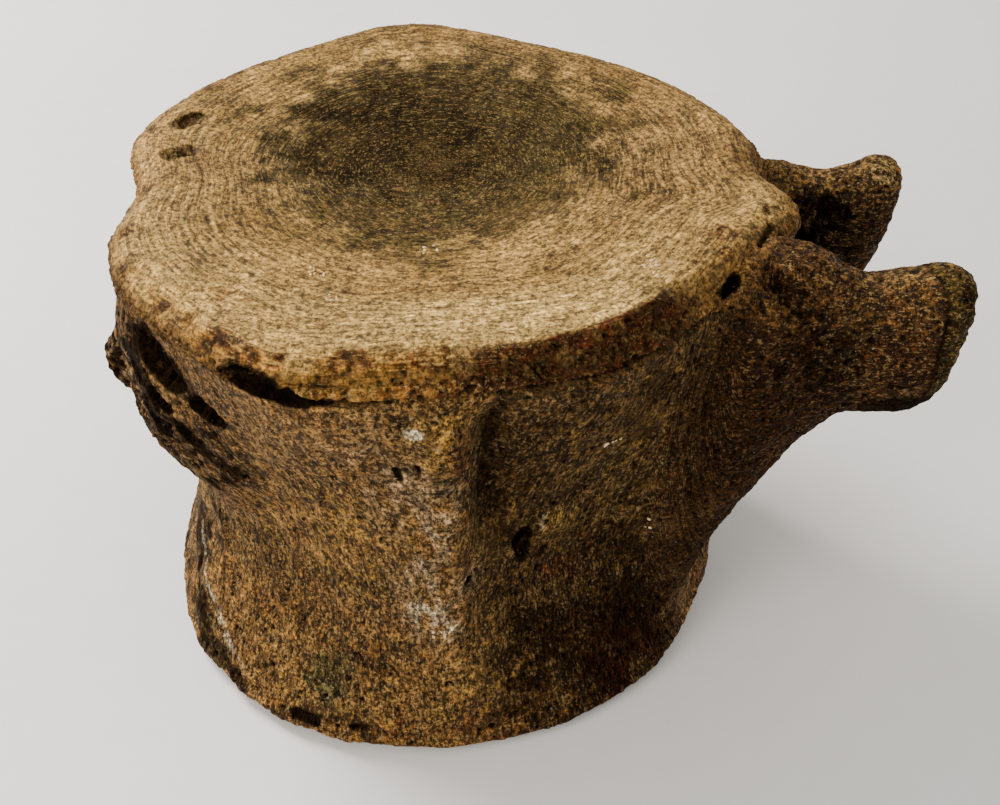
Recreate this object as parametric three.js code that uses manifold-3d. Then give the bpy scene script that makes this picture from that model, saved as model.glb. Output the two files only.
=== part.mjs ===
// A whale's caudal vertebra with a weathered surface and broken processes, standing on its caudal face.
// Millimetres. +Z is cranial and up, +X dorsal, -Y the animal's left. The origin is where the long axis of the
// centrum meets the flat of the caudal face.
import * as THREE from "three";
import { mergeVertices } from "three/addons/utils/BufferGeometryUtils.js";
import Module from "manifold-3d";

const wasm = await Module();
wasm.setup();

// Driving dimensions.
const LENGTH = 154; // centrum, from the caudal face to the highest part of the cranial rim
const CRANIAL_RADIUS = 90.5; // plain radius of the cranial rim, before its lobes
const CAUDAL_RADIUS = 101.8; // plain radius of the caudal rim, before its lobes
const WAIST_DEPTH = 17; // how far the side draws in between the rims
const WAIST_HEIGHT_POWER = 0.85; // under 1 puts the narrowest place below mid-height
const WAIST_POWER = 1.4; // over 1 keeps the rims broad
const SEAM_GAP = 0.3; // clear space between the centrum and its growth plates
const PROCESS_GAP = 0.4; // clear space between the body and the processes that stand on it

// Growth plates (epiphyses) on the two ends of the centrum.
const CRANIAL_SEAM = 143.5; // height of the seam at the edge
const CAUDAL_SEAM = 9;
const SEAM_DISH = 4; // the cranial seam lies this much lower at the axis
const SEAM_WAVE = 0.8; // how far the cranial seam wanders up and down around its edge
const SEAM_WAVES = 5;
const PLATE_OVERHANG = 1.2; // the cranial plate's edge stands out over the centrum by this much
const FACE_DISH = 8.5; // depth of the hollow in the cranial face
const FACE_CREST = 0.9; // share of the radius at which the cranial rim is highest
const EDGE_DROP = 5; // the rims' edges are rounded off by this height
const CHIPPED_DROP = 3; // and by this much more where the cranial rim has broken back, on the left dorsal quarter
const CAUDAL_FLAT = 0.86; // share of the radius over which the caudal face is flat

const AROUND = 72; // segments round the axis

/** The shortest turn from one angle to another, in degrees. */
function turn(angle, centre) {
  return ((((angle - centre + 180) % 360) + 360) % 360) - 180;
}

/** 1 at centre, falling away smoothly, over a different width on each side where two are given. */
function lobe(angle, centre, width, widthAbove = width) {
  const away = turn(angle, centre);
  return Math.exp(-((away / (away < 0 ? width : widthAbove)) ** 2));
}

function lerp(a, b, share) {
  return a + (b - a) * share;
}

/** 0 below low, 1 above high, smooth between. */
function rise(value, low, high) {
  return THREE.MathUtils.smoothstep(value, low, high);
}

/** Radius of the cranial rim. Angles are in degrees from +X (dorsal) towards +Y (the right side). */
function cranialRim(angle) {
  return (
    CRANIAL_RADIUS +
    13.5 * lobe(angle, 171, 80) + // the ventral half is fuller
    6.1 * lobe(angle, 23, 27.5) + // over the right pedicle
    13 * lobe(angle, -9, 7.2) + // corner over the left pedicle
    11.6 * lobe(angle, 100, 17.4) + // over the right transverse ridge
    4.8 * lobe(angle, -58, 13.4) + // left dorsal quarter
    4.6 * lobe(angle, -117, 13.5) - // left ventral quarter
    2.2 * lobe(angle, -87, 16) - // at the left transverse ridge
    10.9 * lobe(angle, -176, 13.5) // haemal notch
  );
}

/** Radius of the caudal rim. */
function caudalRim(angle) {
  return CAUDAL_RADIUS + 6.6 * lobe(angle, -130, 34) - 7.3 * lobe(angle, -8, 34) + 4.6 * lobe(angle, 128, 34);
}

/** How deeply the side is drawn in at this angle. */
function waistDepth(angle) {
  return (
    WAIST_DEPTH -
    10 * lobe(angle, -91, 16, 8) - // left transverse ridge, steep on its dorsal side
    10 * lobe(angle, 90, 8, 16) - // right transverse ridge
    13 * lobe(angle, -5, 26) + // dorsal side, under the neural canal
    5 * lobe(angle, -62, 15) + // hollows between the ridges and the pedicles
    4 * lobe(angle, 58, 15) +
    3 * lobe(angle, -122, 14) + // and between the ridges and the haemal processes
    3 * lobe(angle, 122, 14) +
    5 * lobe(angle, -172, 10) - // groove between the haemal processes
    5 * lobe(angle, 178, 28) // ventral side
  );
}

/** Radius of the centrum's side at an angle and height. */
function sideRadius(angle, z) {
  const share = THREE.MathUtils.clamp(z / LENGTH, 0, 1);
  const waist = Math.sin(Math.PI * share ** WAIST_HEIGHT_POWER) ** WAIST_POWER;
  return lerp(caudalRim(angle), cranialRim(angle), share) - waistDepth(angle) * waist;
}

/** Height of the seam between the centrum and the cranial plate. */
function cranialSeam(angle, fraction) {
  const wave = SEAM_WAVE * Math.sin(SEAM_WAVES * THREE.MathUtils.degToRad(angle)) * fraction ** 4;
  return CRANIAL_SEAM - SEAM_DISH * (1 - fraction ** 2) + wave;
}

/** Height of the hollow cranial face. */
function cranialFace(angle, fraction) {
  if (fraction < FACE_CREST) return LENGTH - FACE_DISH * (1 - (fraction / FACE_CREST) ** 2) ** 1.5;
  const out = (fraction - FACE_CREST) / (1 - FACE_CREST);
  const drop = EDGE_DROP + CHIPPED_DROP * lobe(angle, -55, 24);
  return LENGTH - drop * out ** 2;
}

/** Height of the caudal face, flat in the middle and rounded up to its edge. */
function caudalFace(fraction) {
  return fraction < CAUDAL_FLAT ? 0 : EDGE_DROP * ((fraction - CAUDAL_FLAT) / (1 - CAUDAL_FLAT)) ** 2;
}

/** A three.js geometry as a solid that manifold-3d can cut. */
function solidOf(geometry) {
  const bare = geometry.clone();
  bare.deleteAttribute("normal");
  bare.deleteAttribute("uv");
  const merged = mergeVertices(bare, 1e-4);
  return new wasm.Manifold(
    new wasm.Mesh({
      numProp: 3,
      vertProperties: new Float32Array(merged.attributes.position.array),
      triVerts: new Uint32Array(merged.index.array),
    }),
  );
}

/** A manifold-3d solid as a three.js geometry. */
function geometryOf(solid) {
  const mesh = solid.getMesh();
  const geometry = new THREE.BufferGeometry();
  geometry.setAttribute("position", new THREE.BufferAttribute(mesh.vertProperties, 3));
  geometry.setIndex(new THREE.BufferAttribute(mesh.triVerts, 1));
  geometry.computeVertexNormals();
  return geometry;
}

/**
 * A closed shape turned round an axis and then shaped: profile lists (fraction of the radius, row) pairs from
 * the axis back to the axis, and place(fraction, angle in degrees, row) gives each vertex.
 */
function turned(profile, segments, place) {
  const geometry = new THREE.LatheGeometry(
    profile.map(([fraction, row]) => new THREE.Vector2(fraction, row)),
    segments,
  );
  const position = geometry.attributes.position;
  const spot = new THREE.Vector3();
  for (let i = 0; i < position.count; i++) {
    spot.fromBufferAttribute(position, i);
    const fraction = Math.hypot(spot.x, spot.z);
    const angle = fraction > 1e-6 ? THREE.MathUtils.radToDeg(Math.atan2(spot.x, spot.z)) : 0;
    spot.copy(place(Math.round(fraction * 1e4) / 1e4, angle, spot.y));
    position.setXYZ(i, spot.x, spot.y, spot.z);
  }
  return geometry;
}

/** The amount on the edge of a turned shape, nothing within it. */
function edgeOnly(fraction, amount) {
  return fraction === 1 ? amount : 0;
}

function polar(radius, angle, z) {
  const a = THREE.MathUtils.degToRad(angle);
  return new THREE.Vector3(radius * Math.cos(a), radius * Math.sin(a), z);
}

const FACE_STEPS = [0.18, 0.36, 0.52, 0.66, 0.78, 0.86, 0.92, 0.97];
const SEAM_STEPS = [0.35, 0.7];

/** The body of the vertebra between its two growth plates, grown outward all round by grow. */
function centrum(grow = 0) {
  const rows = 16;
  const profile = [[0, 0]];
  for (let i = 0; i <= rows; i++) profile.push([1, i / rows]);
  for (const step of [...SEAM_STEPS].reverse()) profile.push([step, 1]);
  profile.push([0, 1]);
  return turned(profile, AROUND, (fraction, angle, row) => {
    const z = lerp(CAUDAL_SEAM + SEAM_GAP - grow, cranialSeam(angle, fraction) + grow, row);
    return polar(fraction * sideRadius(angle, z) + edgeOnly(fraction, grow), angle, z);
  });
}

/** The hollow plate on the cranial end, its edge standing out over the seam. */
function cranialEpiphysis(grow = 0) {
  const edgeRows = 4;
  const profile = [[0, 0], ...SEAM_STEPS.map((step) => [step, 0])];
  for (let i = 0; i <= edgeRows; i++) profile.push([1, i / edgeRows]);
  for (const step of [...FACE_STEPS].reverse()) profile.push([step, 1]);
  profile.push([0, 1]);
  return turned(profile, AROUND, (fraction, angle, row) => {
    const low = cranialSeam(angle, fraction) + SEAM_GAP - grow;
    const z = lerp(low, cranialFace(angle, fraction) + grow, row);
    const swell = grow + PLATE_OVERHANG * Math.sqrt(Math.sin(Math.PI * row));
    return polar(fraction * sideRadius(angle, z) + edgeOnly(fraction, swell), angle, z);
  });
}

/** The thin plate on the caudal end, flat underneath, on which the bone stands. */
function caudalEpiphysis(grow = 0) {
  const edgeRows = 3;
  const profile = [[0, 0], ...[0.3, 0.6, CAUDAL_FLAT, 0.93].map((step) => [step, 0])];
  for (let i = 0; i <= edgeRows; i++) profile.push([1, i / edgeRows]);
  profile.push([0, 1]);
  return turned(profile, AROUND, (fraction, angle, row) => {
    const z = lerp(caudalFace(fraction) - grow, CAUDAL_SEAM + grow, row);
    return polar(fraction * sideRadius(angle, z) + edgeOnly(fraction, grow), angle, z);
  });
}

/** The centrum and both plates as one solid, grown by the gap, for cutting what stands on it. */
function grownBody() {
  const [middle, cranial, caudal] = [centrum, cranialEpiphysis, caudalEpiphysis].map((make) =>
    solidOf(make(PROCESS_GAP)),
  );
  return middle.add(cranial).add(caudal);
}

const SECTION_POWER = 2.4; // pedicle sections are rounded boxes
const LOFT_AROUND = 24;
const LOFT_ROWS = 16;

/** A point on a rounded box's edge, for a direction round it in degrees. */
function roundedBox(angle, halfWidth, halfHeight) {
  const a = THREE.MathUtils.degToRad(angle);
  const c = Math.cos(a);
  const s = Math.sin(a);
  const size = (Math.abs(c) ** SECTION_POWER + Math.abs(s) ** SECTION_POWER) ** (-1 / SECTION_POWER);
  return [halfWidth * c * size, halfHeight * s * size];
}

/**
 * A process as a closed loft from inside the body out to its broken tip. section(share) gives the middle of the
 * section, its outward and sideways directions in plan, its half sizes and its slant.
 */
function loft(section, tipFrom) {
  const profile = [[0, 0]];
  for (let i = 0; i <= LOFT_ROWS; i++) profile.push([1, i / LOFT_ROWS]);
  profile.push([0, 1]);
  return turned(profile, LOFT_AROUND, (fraction, angle, share) => {
    const { middle, sideways, outward, halfWidth, halfHeight, slant } = section(share);
    const past = Math.max(0, (share - tipFrom) / (1 - tipFrom));
    const cap = 0.32 + 0.68 * (1 - past ** 2.6) ** (1 / 2.6);
    const [across, up] = roundedBox(angle, halfWidth * cap * fraction, halfHeight * cap * fraction);
    return middle
      .clone()
      .addScaledVector(sideways, across)
      .addScaledVector(outward, slant * up)
      .setZ(middle.z + up);
  });
}

// Stumps of the neural arch. Places are along X (dorsal), from inside the centrum to the broken end.
const LEFT_PEDICLE = {
  rootX: 58,
  tipX: 148,
  rootY: -38,
  tipY: -42,
  halfWidth: 12,
  rootSpread: 11, // extra half width at the root
  topZ: 142, // upper edge past the notch
  notchRise: 10, // how much higher the upper edge starts, at the rim
  tipFlare: 5,
  lowZ: 97,
  footDrop: 58, // how far the lower edge sweeps down to the centrum
  footX: 122, // where that sweep begins
  slant: 0.16,
};
const RIGHT_PEDICLE = {
  rootX: 58,
  tipX: 142,
  rootY: 22,
  tipY: 20,
  halfWidth: 11.5,
  rootSpread: 11,
  topZ: 138.5,
  notchRise: 4,
  tipFlare: 7,
  lowZ: 98,
  footDrop: 60,
  footX: 121,
  slant: 0.2,
};

/** Lower and upper edge of a pedicle at a distance along X. */
function pedicleEdges(size, x) {
  const before = Math.max(0, (size.footX - x) / (size.footX - 86));
  const low = size.lowZ - size.footDrop * Math.min(before, 1.35) ** 1.5;
  const notch = size.notchRise * (1 - rise(x, 98, 119));
  const flare = size.tipFlare * rise(x, 112, 136);
  return [low, size.topZ + notch + flare];
}

function pedicle(size) {
  return loft((share) => {
    const x = lerp(size.rootX, size.tipX, share);
    const [low, high] = pedicleEdges(size, x);
    const spread = size.rootSpread * (1 - rise(x, 78, 118));
    return {
      middle: new THREE.Vector3(x, lerp(size.rootY, size.tipY, share), (low + high) / 2),
      sideways: new THREE.Vector3(0, 1, 0),
      outward: new THREE.Vector3(1, 0, 0),
      halfWidth: size.halfWidth + spread,
      halfHeight: (high - low) / 2,
      slant: size.slant * share,
    };
  }, 0.84);
}

// Broken stumps of the haemal processes on the ventral side, each standing out at an angle round the axis.
const LEFT_HAEMAL = {
  angle: -150,
  rootRadius: 60,
  tipRadius: 102,
  halfWidth: 26,
  lowZ: 74,
  highZ: 146,
  slant: 0,
  flareFrom: 0.5, // the root's flare dies away between these shares of the length
  flareTo: 0.95,
};
const RIGHT_HAEMAL = {
  angle: 169,
  rootRadius: 60,
  tipRadius: 129,
  halfWidth: 15,
  lowZ: 47,
  highZ: 86,
  slant: -0.3,
  flareFrom: 0.3,
  flareTo: 0.72,
};
const HAEMAL_TIP = 0.78; // size of the section at the tip, against the named sizes
const HAEMAL_FLARE = 0.5; // added at the root

function haemalProcess(size) {
  const outward = polar(1, size.angle, 0);
  const sideways = polar(1, size.angle + 90, 0);
  return loft((share) => {
    const taper = HAEMAL_TIP + HAEMAL_FLARE * (1 - rise(share, size.flareFrom, size.flareTo));
    return {
      middle: polar(lerp(size.rootRadius, size.tipRadius, share), size.angle, (size.lowZ + size.highZ) / 2),
      sideways,
      outward,
      halfWidth: size.halfWidth * taper,
      halfHeight: ((size.highZ - size.lowZ) / 2) * taper,
      slant: size.slant * share,
    };
  }, 0.7);
}

/** What is left of a process outside the body. */
function grownFrom(body, geometry) {
  const pieces = solidOf(geometry).subtract(body).decompose();
  pieces.sort((a, b) => b.volume() - a.volume());
  return geometryOf(pieces[0]);
}

const boneBrown = new THREE.MeshStandardMaterial({ color: 0x6b4a2a, roughness: 0.85, metalness: 0 });
const faceTan = new THREE.MeshStandardMaterial({ color: 0xa5885f, roughness: 0.8, metalness: 0 });
const stumpBrown = new THREE.MeshStandardMaterial({ color: 0x55351c, roughness: 0.85, metalness: 0 });
const brokenDark = new THREE.MeshStandardMaterial({ color: 0x33241a, roughness: 0.95, metalness: 0 });

const vertebra = new THREE.Group();

function add(name, geometry, material) {
  const mesh = new THREE.Mesh(geometry, material);
  mesh.name = name;
  vertebra.add(mesh);
}

const body = grownBody();
add("centrum", centrum(), boneBrown);
add("cranial_epiphysis", cranialEpiphysis(), faceTan);
add("caudal_epiphysis", caudalEpiphysis(), boneBrown);
add("left_pedicle", grownFrom(body, pedicle(LEFT_PEDICLE)), stumpBrown);
add("right_pedicle", grownFrom(body, pedicle(RIGHT_PEDICLE)), stumpBrown);
add("left_haemal_process", grownFrom(body, haemalProcess(LEFT_HAEMAL)), brokenDark);
add("right_haemal_process", grownFrom(body, haemalProcess(RIGHT_HAEMAL)), brokenDark);

export default vertebra;
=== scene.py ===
"""Looks of a weathered whale tail vertebra: its worn surface, finishes, loose grit, floor, light and camera.

Shapes are worked out in millimetres, with the bone standing on its rear face at height 0, its length along +Z,
its back towards +X and its left side towards -Y. Meshes are then made in metres.
"""

import functools
import itertools
import logging
import math
import sys
from dataclasses import dataclass, field
from enum import Enum

import bpy
import numpy as np
import openvdb
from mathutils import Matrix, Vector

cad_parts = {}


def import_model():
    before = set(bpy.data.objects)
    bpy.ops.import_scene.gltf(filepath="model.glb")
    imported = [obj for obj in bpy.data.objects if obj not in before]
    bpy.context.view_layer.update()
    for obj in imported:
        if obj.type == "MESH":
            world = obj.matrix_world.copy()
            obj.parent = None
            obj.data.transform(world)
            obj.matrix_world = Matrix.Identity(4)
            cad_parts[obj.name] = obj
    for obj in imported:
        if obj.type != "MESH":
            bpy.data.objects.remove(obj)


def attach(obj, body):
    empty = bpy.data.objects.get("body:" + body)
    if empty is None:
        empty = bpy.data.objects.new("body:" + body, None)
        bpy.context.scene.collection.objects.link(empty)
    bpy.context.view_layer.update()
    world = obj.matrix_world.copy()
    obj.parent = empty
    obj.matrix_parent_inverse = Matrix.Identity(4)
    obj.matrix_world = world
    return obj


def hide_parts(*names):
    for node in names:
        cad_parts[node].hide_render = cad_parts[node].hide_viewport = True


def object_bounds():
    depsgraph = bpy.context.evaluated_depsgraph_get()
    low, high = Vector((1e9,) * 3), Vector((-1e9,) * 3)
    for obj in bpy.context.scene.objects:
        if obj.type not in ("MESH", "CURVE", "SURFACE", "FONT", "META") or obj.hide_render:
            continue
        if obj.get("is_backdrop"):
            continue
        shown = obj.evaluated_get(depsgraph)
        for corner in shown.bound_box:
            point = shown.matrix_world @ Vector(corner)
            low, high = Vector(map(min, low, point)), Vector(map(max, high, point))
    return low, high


log = logging.getLogger("vertebra")
MM = 0.001
HOLLOW_REACH = 16.0
ARCH_PARTING = -10.0
NO_TRIANGLES = np.zeros((0, 3), int)
VENTRAL, CROWN, LEFT_ARCH, RIGHT_ARCH = range(5, 9)
Array = np.ndarray
Triple = tuple[float, float, float]


# ---------------------------------------------------------------- small helpers


def turned(angle: Array, centre: float) -> Array:
    """Degrees from centre to angle, the short way round."""
    return (angle - centre + 180.0) % 360.0 - 180.0


def lobe(angle: Array, centre: float, width: float, above: float | None = None) -> Array:
    """A smooth swelling round the bone.

    Args:
        angle: Places round the bone, in degrees.
        centre: Where the swelling is highest.
        width: Its half width below the centre, and above it too unless above is given.
        above: Its half width above the centre.

    Returns:
        1 at the centre, falling to 0.
    """
    turn = turned(angle, centre)
    reach = width if above is None else np.where(turn < 0, width, above)
    return np.exp(-((turn / reach) ** 2))


def swelled(angle: Array, start: float, *rows: tuple[float, ...]) -> Array:
    """A start value with swellings added round the bone, each given as its height and its lobe's values."""
    total = start
    for height, *place in rows:
        total = total + height * lobe(angle, *place)
    return total


def rise(value: Array, low: float, high: float) -> Array:
    """0 below low, 1 above high, and a smooth step between."""
    share = np.clip((value - low) / (high - low), 0, 1)
    return share * share * (3 - 2 * share)


def soft_min(a: Array, b: Array, blend: float) -> Array:
    """The lower of two distances, with a fillet of about blend where they meet."""
    share = np.clip(0.5 + 0.5 * (b - a) / blend, 0, 1)
    return b * (1 - share) + a * share - blend * share * (1 - share)


def soft_max(a: Array, b: Array, blend: float) -> Array:
    """The higher of two distances, with a rounding of about blend where they meet."""
    return -soft_min(-a, -b, blend)


def spot(points: Array, centre: Triple, reach: float | Triple) -> Array:
    """How strongly each point lies in a soft round patch.

    Args:
        points: Places on the bone.
        centre: The patch's middle.
        reach: Its half sizes along X, Y and Z, or one for all three.

    Returns:
        1 in the middle, falling to 0.
    """
    return np.exp(-(((points - np.array(centre, np.float32)) / np.array(reach, np.float32)) ** 2).sum(1))


class Noise:
    """Repeatable noise in space."""

    def __init__(self, seed: int) -> None:
        """Fills the tables from a seed."""
        draw = np.random.default_rng(seed)
        self.order = draw.permutation(256).astype(np.int32)
        self.level = (draw.random(256) * 2 - 1).astype(np.float32)
        self.offset = draw.random((256, 3)).astype(np.float32)

    def corner(self, x: Array, y: Array, z: Array) -> Array:
        """A number from 0 to 255 that belongs to each whole-number place."""
        return self.order[(self.order[(self.order[x & 255] + y) & 255] + z) & 255]

    def bent(self, places: Array, size: float, amount: float) -> Array:
        """Places moved about by soft lumps, so that what is worked out from them loses its regular shapes."""
        moves = [self.smooth(places / size + turn) for turn in (3.1, 31.7, 63.3)]
        return (places + amount * np.stack(moves, axis=1)).astype(np.float32)

    def smooth(self, places: Array) -> Array:
        """Soft lumps one unit wide, from -1 to 1."""
        base = np.floor(places).astype(np.int32)
        part = (places - base).astype(np.float32)
        part = part * part * (3 - 2 * part)
        x, y, z = base.T
        fx, fy, fz = part.T
        total = np.zeros(len(places), np.float32)
        for dx, dy, dz in itertools.product((0, 1), repeat=3):
            weight = (fx if dx else 1 - fx) * (fy if dy else 1 - fy) * (fz if dz else 1 - fz)
            total += weight * self.level[self.corner(x + dx, y + dy, z + dz)]
        return total

    def layers(self, places: Array, size: float, count: int = 3, gain: float = 0.5) -> Array:
        """Lumps with finer lumps on them.

        Args:
            places: Where to work the noise out, in millimetres.
            size: Width of the widest lumps.
            count: How many layers, each half as wide as the one before.
            gain: How high each layer is beside the one before.

        Returns:
            About -1 to 1.
        """
        total = np.zeros(len(places), np.float32)
        for step in range(count):
            total += gain**step * self.smooth(places * (2.03**step / size) + 17.3 * step)
        return total

    def cells(self, places: Array, size: float) -> tuple[Array, Array]:
        """Scattered cells, for pores.

        Args:
            places: Where to work the cells out, in millimetres.
            size: Mean spacing of the cells.

        Returns:
            Distance to the nearest cell's middle in spacings, and that cell's own number from 0 to 1.
        """
        scaled = (places / size).astype(np.float32)
        base = np.floor(scaled).astype(np.int32)
        nearest = np.full(len(places), 9.0, np.float32)
        own = np.zeros(len(places), np.float32)
        for step in itertools.product((-1, 0, 1), repeat=3):
            cell = base + np.array(step, np.int32)
            code = self.corner(*cell.T)
            gap = np.linalg.norm(cell + self.offset[code] - scaled, axis=1)
            closer = gap < nearest
            nearest[closer] = gap[closer]
            own[closer] = code[closer] / 255.0
        return nearest, own


# ---------------------------------------------------------------- the bone's large shapes


@dataclass
class Spool:
    """The spool-shaped body of the bone between and with its two end plates."""

    length: float = 154.0
    seam: float = 143.5
    dish: float = 8.5
    edge_drop: float = 5.0
    waist: float = 17.0
    overhang: float = 1.3
    groove: float = 2.1
    lower_groove: float = 0.55
    bevel_middle: float = -61.0

    def cranial_rim(self, angle: Array) -> Array:
        """Radius of the upper rim round the bone."""
        rows = ((13.5, 171, 80), (6.1, 23, 27.5), (13.0, -9, 7.2), (11.6, 100, 17.4), (4.8, -58, 13.4))
        return swelled(angle, 90.5, *rows, (4.6, -117, 13.5), (-2.2, -87, 16), (-10.9, -176, 13.5))

    def caudal_rim(self, angle: Array) -> Array:
        """Radius of the lower rim round the bone."""
        return swelled(angle, 101.8, (6.6, -130, 34), (-7.3, -8, 34), (4.6, 128, 34))

    def hollowing(self, angle: Array) -> Array:
        """How deep the waist is round the bone."""
        rows = ((-10, -91, 16, 8), (-10, 90, 8, 16), (-13, -5, 26), (5, -62, 15), (4, 58, 15))
        return swelled(angle, self.waist, *rows, (3, -122, 14), (3, 122, 14), (5, -172, 10), (-5, 178, 28))

    def radius(self, angle: Array, height: Array) -> Array:
        """Radius of the side at a height."""
        share = np.clip(height / self.length, 0, 1)
        waist = np.maximum(np.sin(np.pi * share**0.85), 0) ** 1.4
        return self.caudal_rim(angle) * (1 - share) + self.cranial_rim(angle) * share - self.hollowing(angle) * waist

    def top(self, angle: Array, share: Array) -> Array:
        """Height of the dished upper face, share being 0 in the middle and 1 at the rim."""
        out = np.clip((share - 0.9) / 0.1, 0, 1.4)
        dished = self.length - self.dish * (1 - (np.minimum(share, 0.9) / 0.9) ** 2) ** 1.5
        return np.where(share < 0.9, dished, self.length - (self.edge_drop + 2 * lobe(angle, -55, 24)) * out**2)

    def bevel(self, out: Array, height: Array) -> Array:
        """How far each point lies outside the plane of the plate's broken bevel."""
        return (out - 88.6) * 0.8 + (height - 151.0) * 0.6

    def crease(self, angle: Array) -> Array:
        """Height of the line where the upper plate meets the body."""
        return self.seam + 0.8 * np.sin(np.radians(5 * angle))

    def distance(self, points: Array, angle: Array, out: Array) -> Array:
        """About how far each point lies outside the spool.

        Args:
            points: Places in space.
            angle: Their angles round the bone.
            out: Their distances from its long axis.

        Returns:
            Millimetres, negative inside.
        """
        height = points[:, 2]
        above = height - self.crease(angle)
        rows = ((-0.7, -88, 15), (-0.8, -22, 16), (-0.6, 12, 14), (-0.65, 62, 22), (-0.55, 133, 18))
        fused = swelled(angle, 1, *rows, (-0.5, -166, 13))
        open_part = 1 + 0.6 * lobe(angle, -118, 12)
        side = (
            out
            - self.radius(angle, height)
            - self.overhang * rise(above, 0, 2.5) * rise(-above, -9, -3) * fused
            + self.groove * fused * open_part * np.exp(-((above / 1.25) ** 2))
            + self.lower_groove * np.exp(-(((height - 9.0 - 0.8 * np.sin(np.radians(3 * angle + 40))) / 1.1) ** 2))
        ) * 0.96
        rim = self.cranial_rim(angle)
        face = height - self.top(angle, np.clip(out / rim, 0, 1.05))
        foot = 5.0 * np.clip((out / self.caudal_rim(angle) - 0.86) / 0.14, 0, 1.1) ** 2 - height
        return soft_max(soft_max(side, face, 2.2), foot, 1.5)


def tapered(across: Array, up: Array, width: Array, half: Array, power: float, past: Array) -> Array:
    """About how far each point lies outside a rounded bar that closes in towards its end.

    Args:
        across: How far the points lie from the bar's line, sideways.
        up: How far they lie from it in height.
        width: The bar's half width.
        half: Its half height.
        power: 2 for an oval bar, and more for a squarer one.
        past: 0 along the bar, rising to 1 at its end.

    Returns:
        Millimetres, negative inside.
    """
    swell = ((np.abs(across) / width) ** power + (np.abs(up) / half) ** power) ** (1 / power)
    cap = 0.32 + 0.68 * (1 - past**2.6) ** (1 / 2.6)
    return (swell - cap) * np.minimum(width, half) * 0.95


@dataclass
class PedicleStump:
    """One broken stump of the neural arch."""

    root_x: float
    tip_x: float
    root_y: float
    tip_y: float
    half_width: float
    top_z: float
    notch_rise: float
    tip_flare: float
    low_z: float
    foot_drop: float
    foot_x: float
    slant: float
    root_spread: float = 11.0
    roundness: float = 2.4

    def edges(self, x: Array) -> tuple[Array, Array]:
        """The stump's lower and upper edge at a distance from the axis."""
        back = np.maximum(0, (self.foot_x - x) / (self.foot_x - 86))
        low = self.low_z - self.foot_drop * np.minimum(back, 1.35) ** 1.5
        high = self.top_z + self.notch_rise * (1 - rise(x, 98, 119)) + self.tip_flare * rise(x, 112, 136)
        return low, high

    def distance(self, points: Array) -> Array:
        """About how far each point lies outside the stump."""
        x, y, z = points.T
        low, high = self.edges(x)
        share = np.clip((x - self.root_x) / (self.tip_x - self.root_x), 0, 1)
        along = x - self.slant * share * (z - (low + high) / 2)
        low, high = self.edges(along)
        middle, half = (low + high) / 2, (high - low) / 2
        share = (along - self.root_x) / (self.tip_x - self.root_x)
        width = self.half_width + self.root_spread * (1 - rise(along, 78, 118))
        line = self.root_y + (self.tip_y - self.root_y) * np.clip(share, 0, 1)
        past = np.clip((share - 0.84) / 0.16, 0, 1)
        return soft_max(tapered(y - line, z - middle, width, half, self.roundness, past), along - self.tip_x, 4.0)


@dataclass
class HaemalStump:
    """One broken stump for a chevron, low on the underside of the tail."""

    angle: float
    root: float
    tip: float
    half_width: float
    low_z: float
    high_z: float
    slant: float
    flare_from: float
    flare_to: float
    roundness: float = 2.4

    def distance(self, points: Array) -> Array:
        """About how far each point lies outside the stump."""
        x, y, z = points.T
        turn = math.radians(self.angle)
        along = x * math.cos(turn) + y * math.sin(turn)
        across = y * math.cos(turn) - x * math.sin(turn)
        middle, half = (self.low_z + self.high_z) / 2, (self.high_z - self.low_z) / 2
        share = np.clip((along - self.root) / (self.tip - self.root), 0, 1)
        along = along - self.slant * share * (z - middle)
        share = (along - self.root) / (self.tip - self.root)
        size = 0.78 + 0.5 * (1 - rise(share, self.flare_from, self.flare_to))
        width, half = self.half_width * size, half * size
        past = np.clip((share - 0.7) / 0.3, 0, 1)
        return soft_max(tapered(across, z - middle, width, half, self.roundness, past), along - self.tip, 3.0)


@dataclass(frozen=True)
class Hollow:
    """A hole, slit or pit, as a rounded bar that is cut out of the bone."""

    start: Triple
    end: Triple
    start_radius: float
    end_radius: float
    rounding: float = 1.0
    # darkness: how much painted shade the hollow's inside gets, from 0 to 1.
    darkness: float = 1.0

    def near(self, points: Array) -> Array:
        """Which points are near enough for the hollow to matter."""
        middle = ((np.array(self.start) + self.end) / 2).astype(np.float32)
        return np.abs(points - middle).max(1) < HOLLOW_REACH

    def distance(self, points: Array) -> Array:
        """How far each point lies outside the bar."""
        a, b = np.array(self.start, np.float32), np.array(self.end, np.float32)
        line = b - a
        share = np.clip(((points - a) @ line) / max(float(line @ line), 1e-6), 0, 1)
        gap = np.linalg.norm(points - a - share[:, None] * line, axis=1)
        return gap - (self.start_radius * (1 - share) + self.end_radius * share)


@dataclass(frozen=True)
class Break:
    """A flat, uneven break: what lies outside its plane near its middle is gone."""

    middle: Triple
    outward: Triple
    reach: float
    roughness: float

    def distance(self, points: Array, noise: Noise) -> Array:
        """How far each point lies outside the break, less and less far from its middle."""
        away = np.array(self.outward, np.float32)
        away /= np.linalg.norm(away)
        offset = points - np.array(self.middle, np.float32)
        height = offset @ away
        side = np.linalg.norm(offset - height[:, None] * away, axis=1)
        return height + self.roughness * noise.layers(points, 5.0, 2) - np.maximum(side - self.reach, 0) * 1.2


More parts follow.
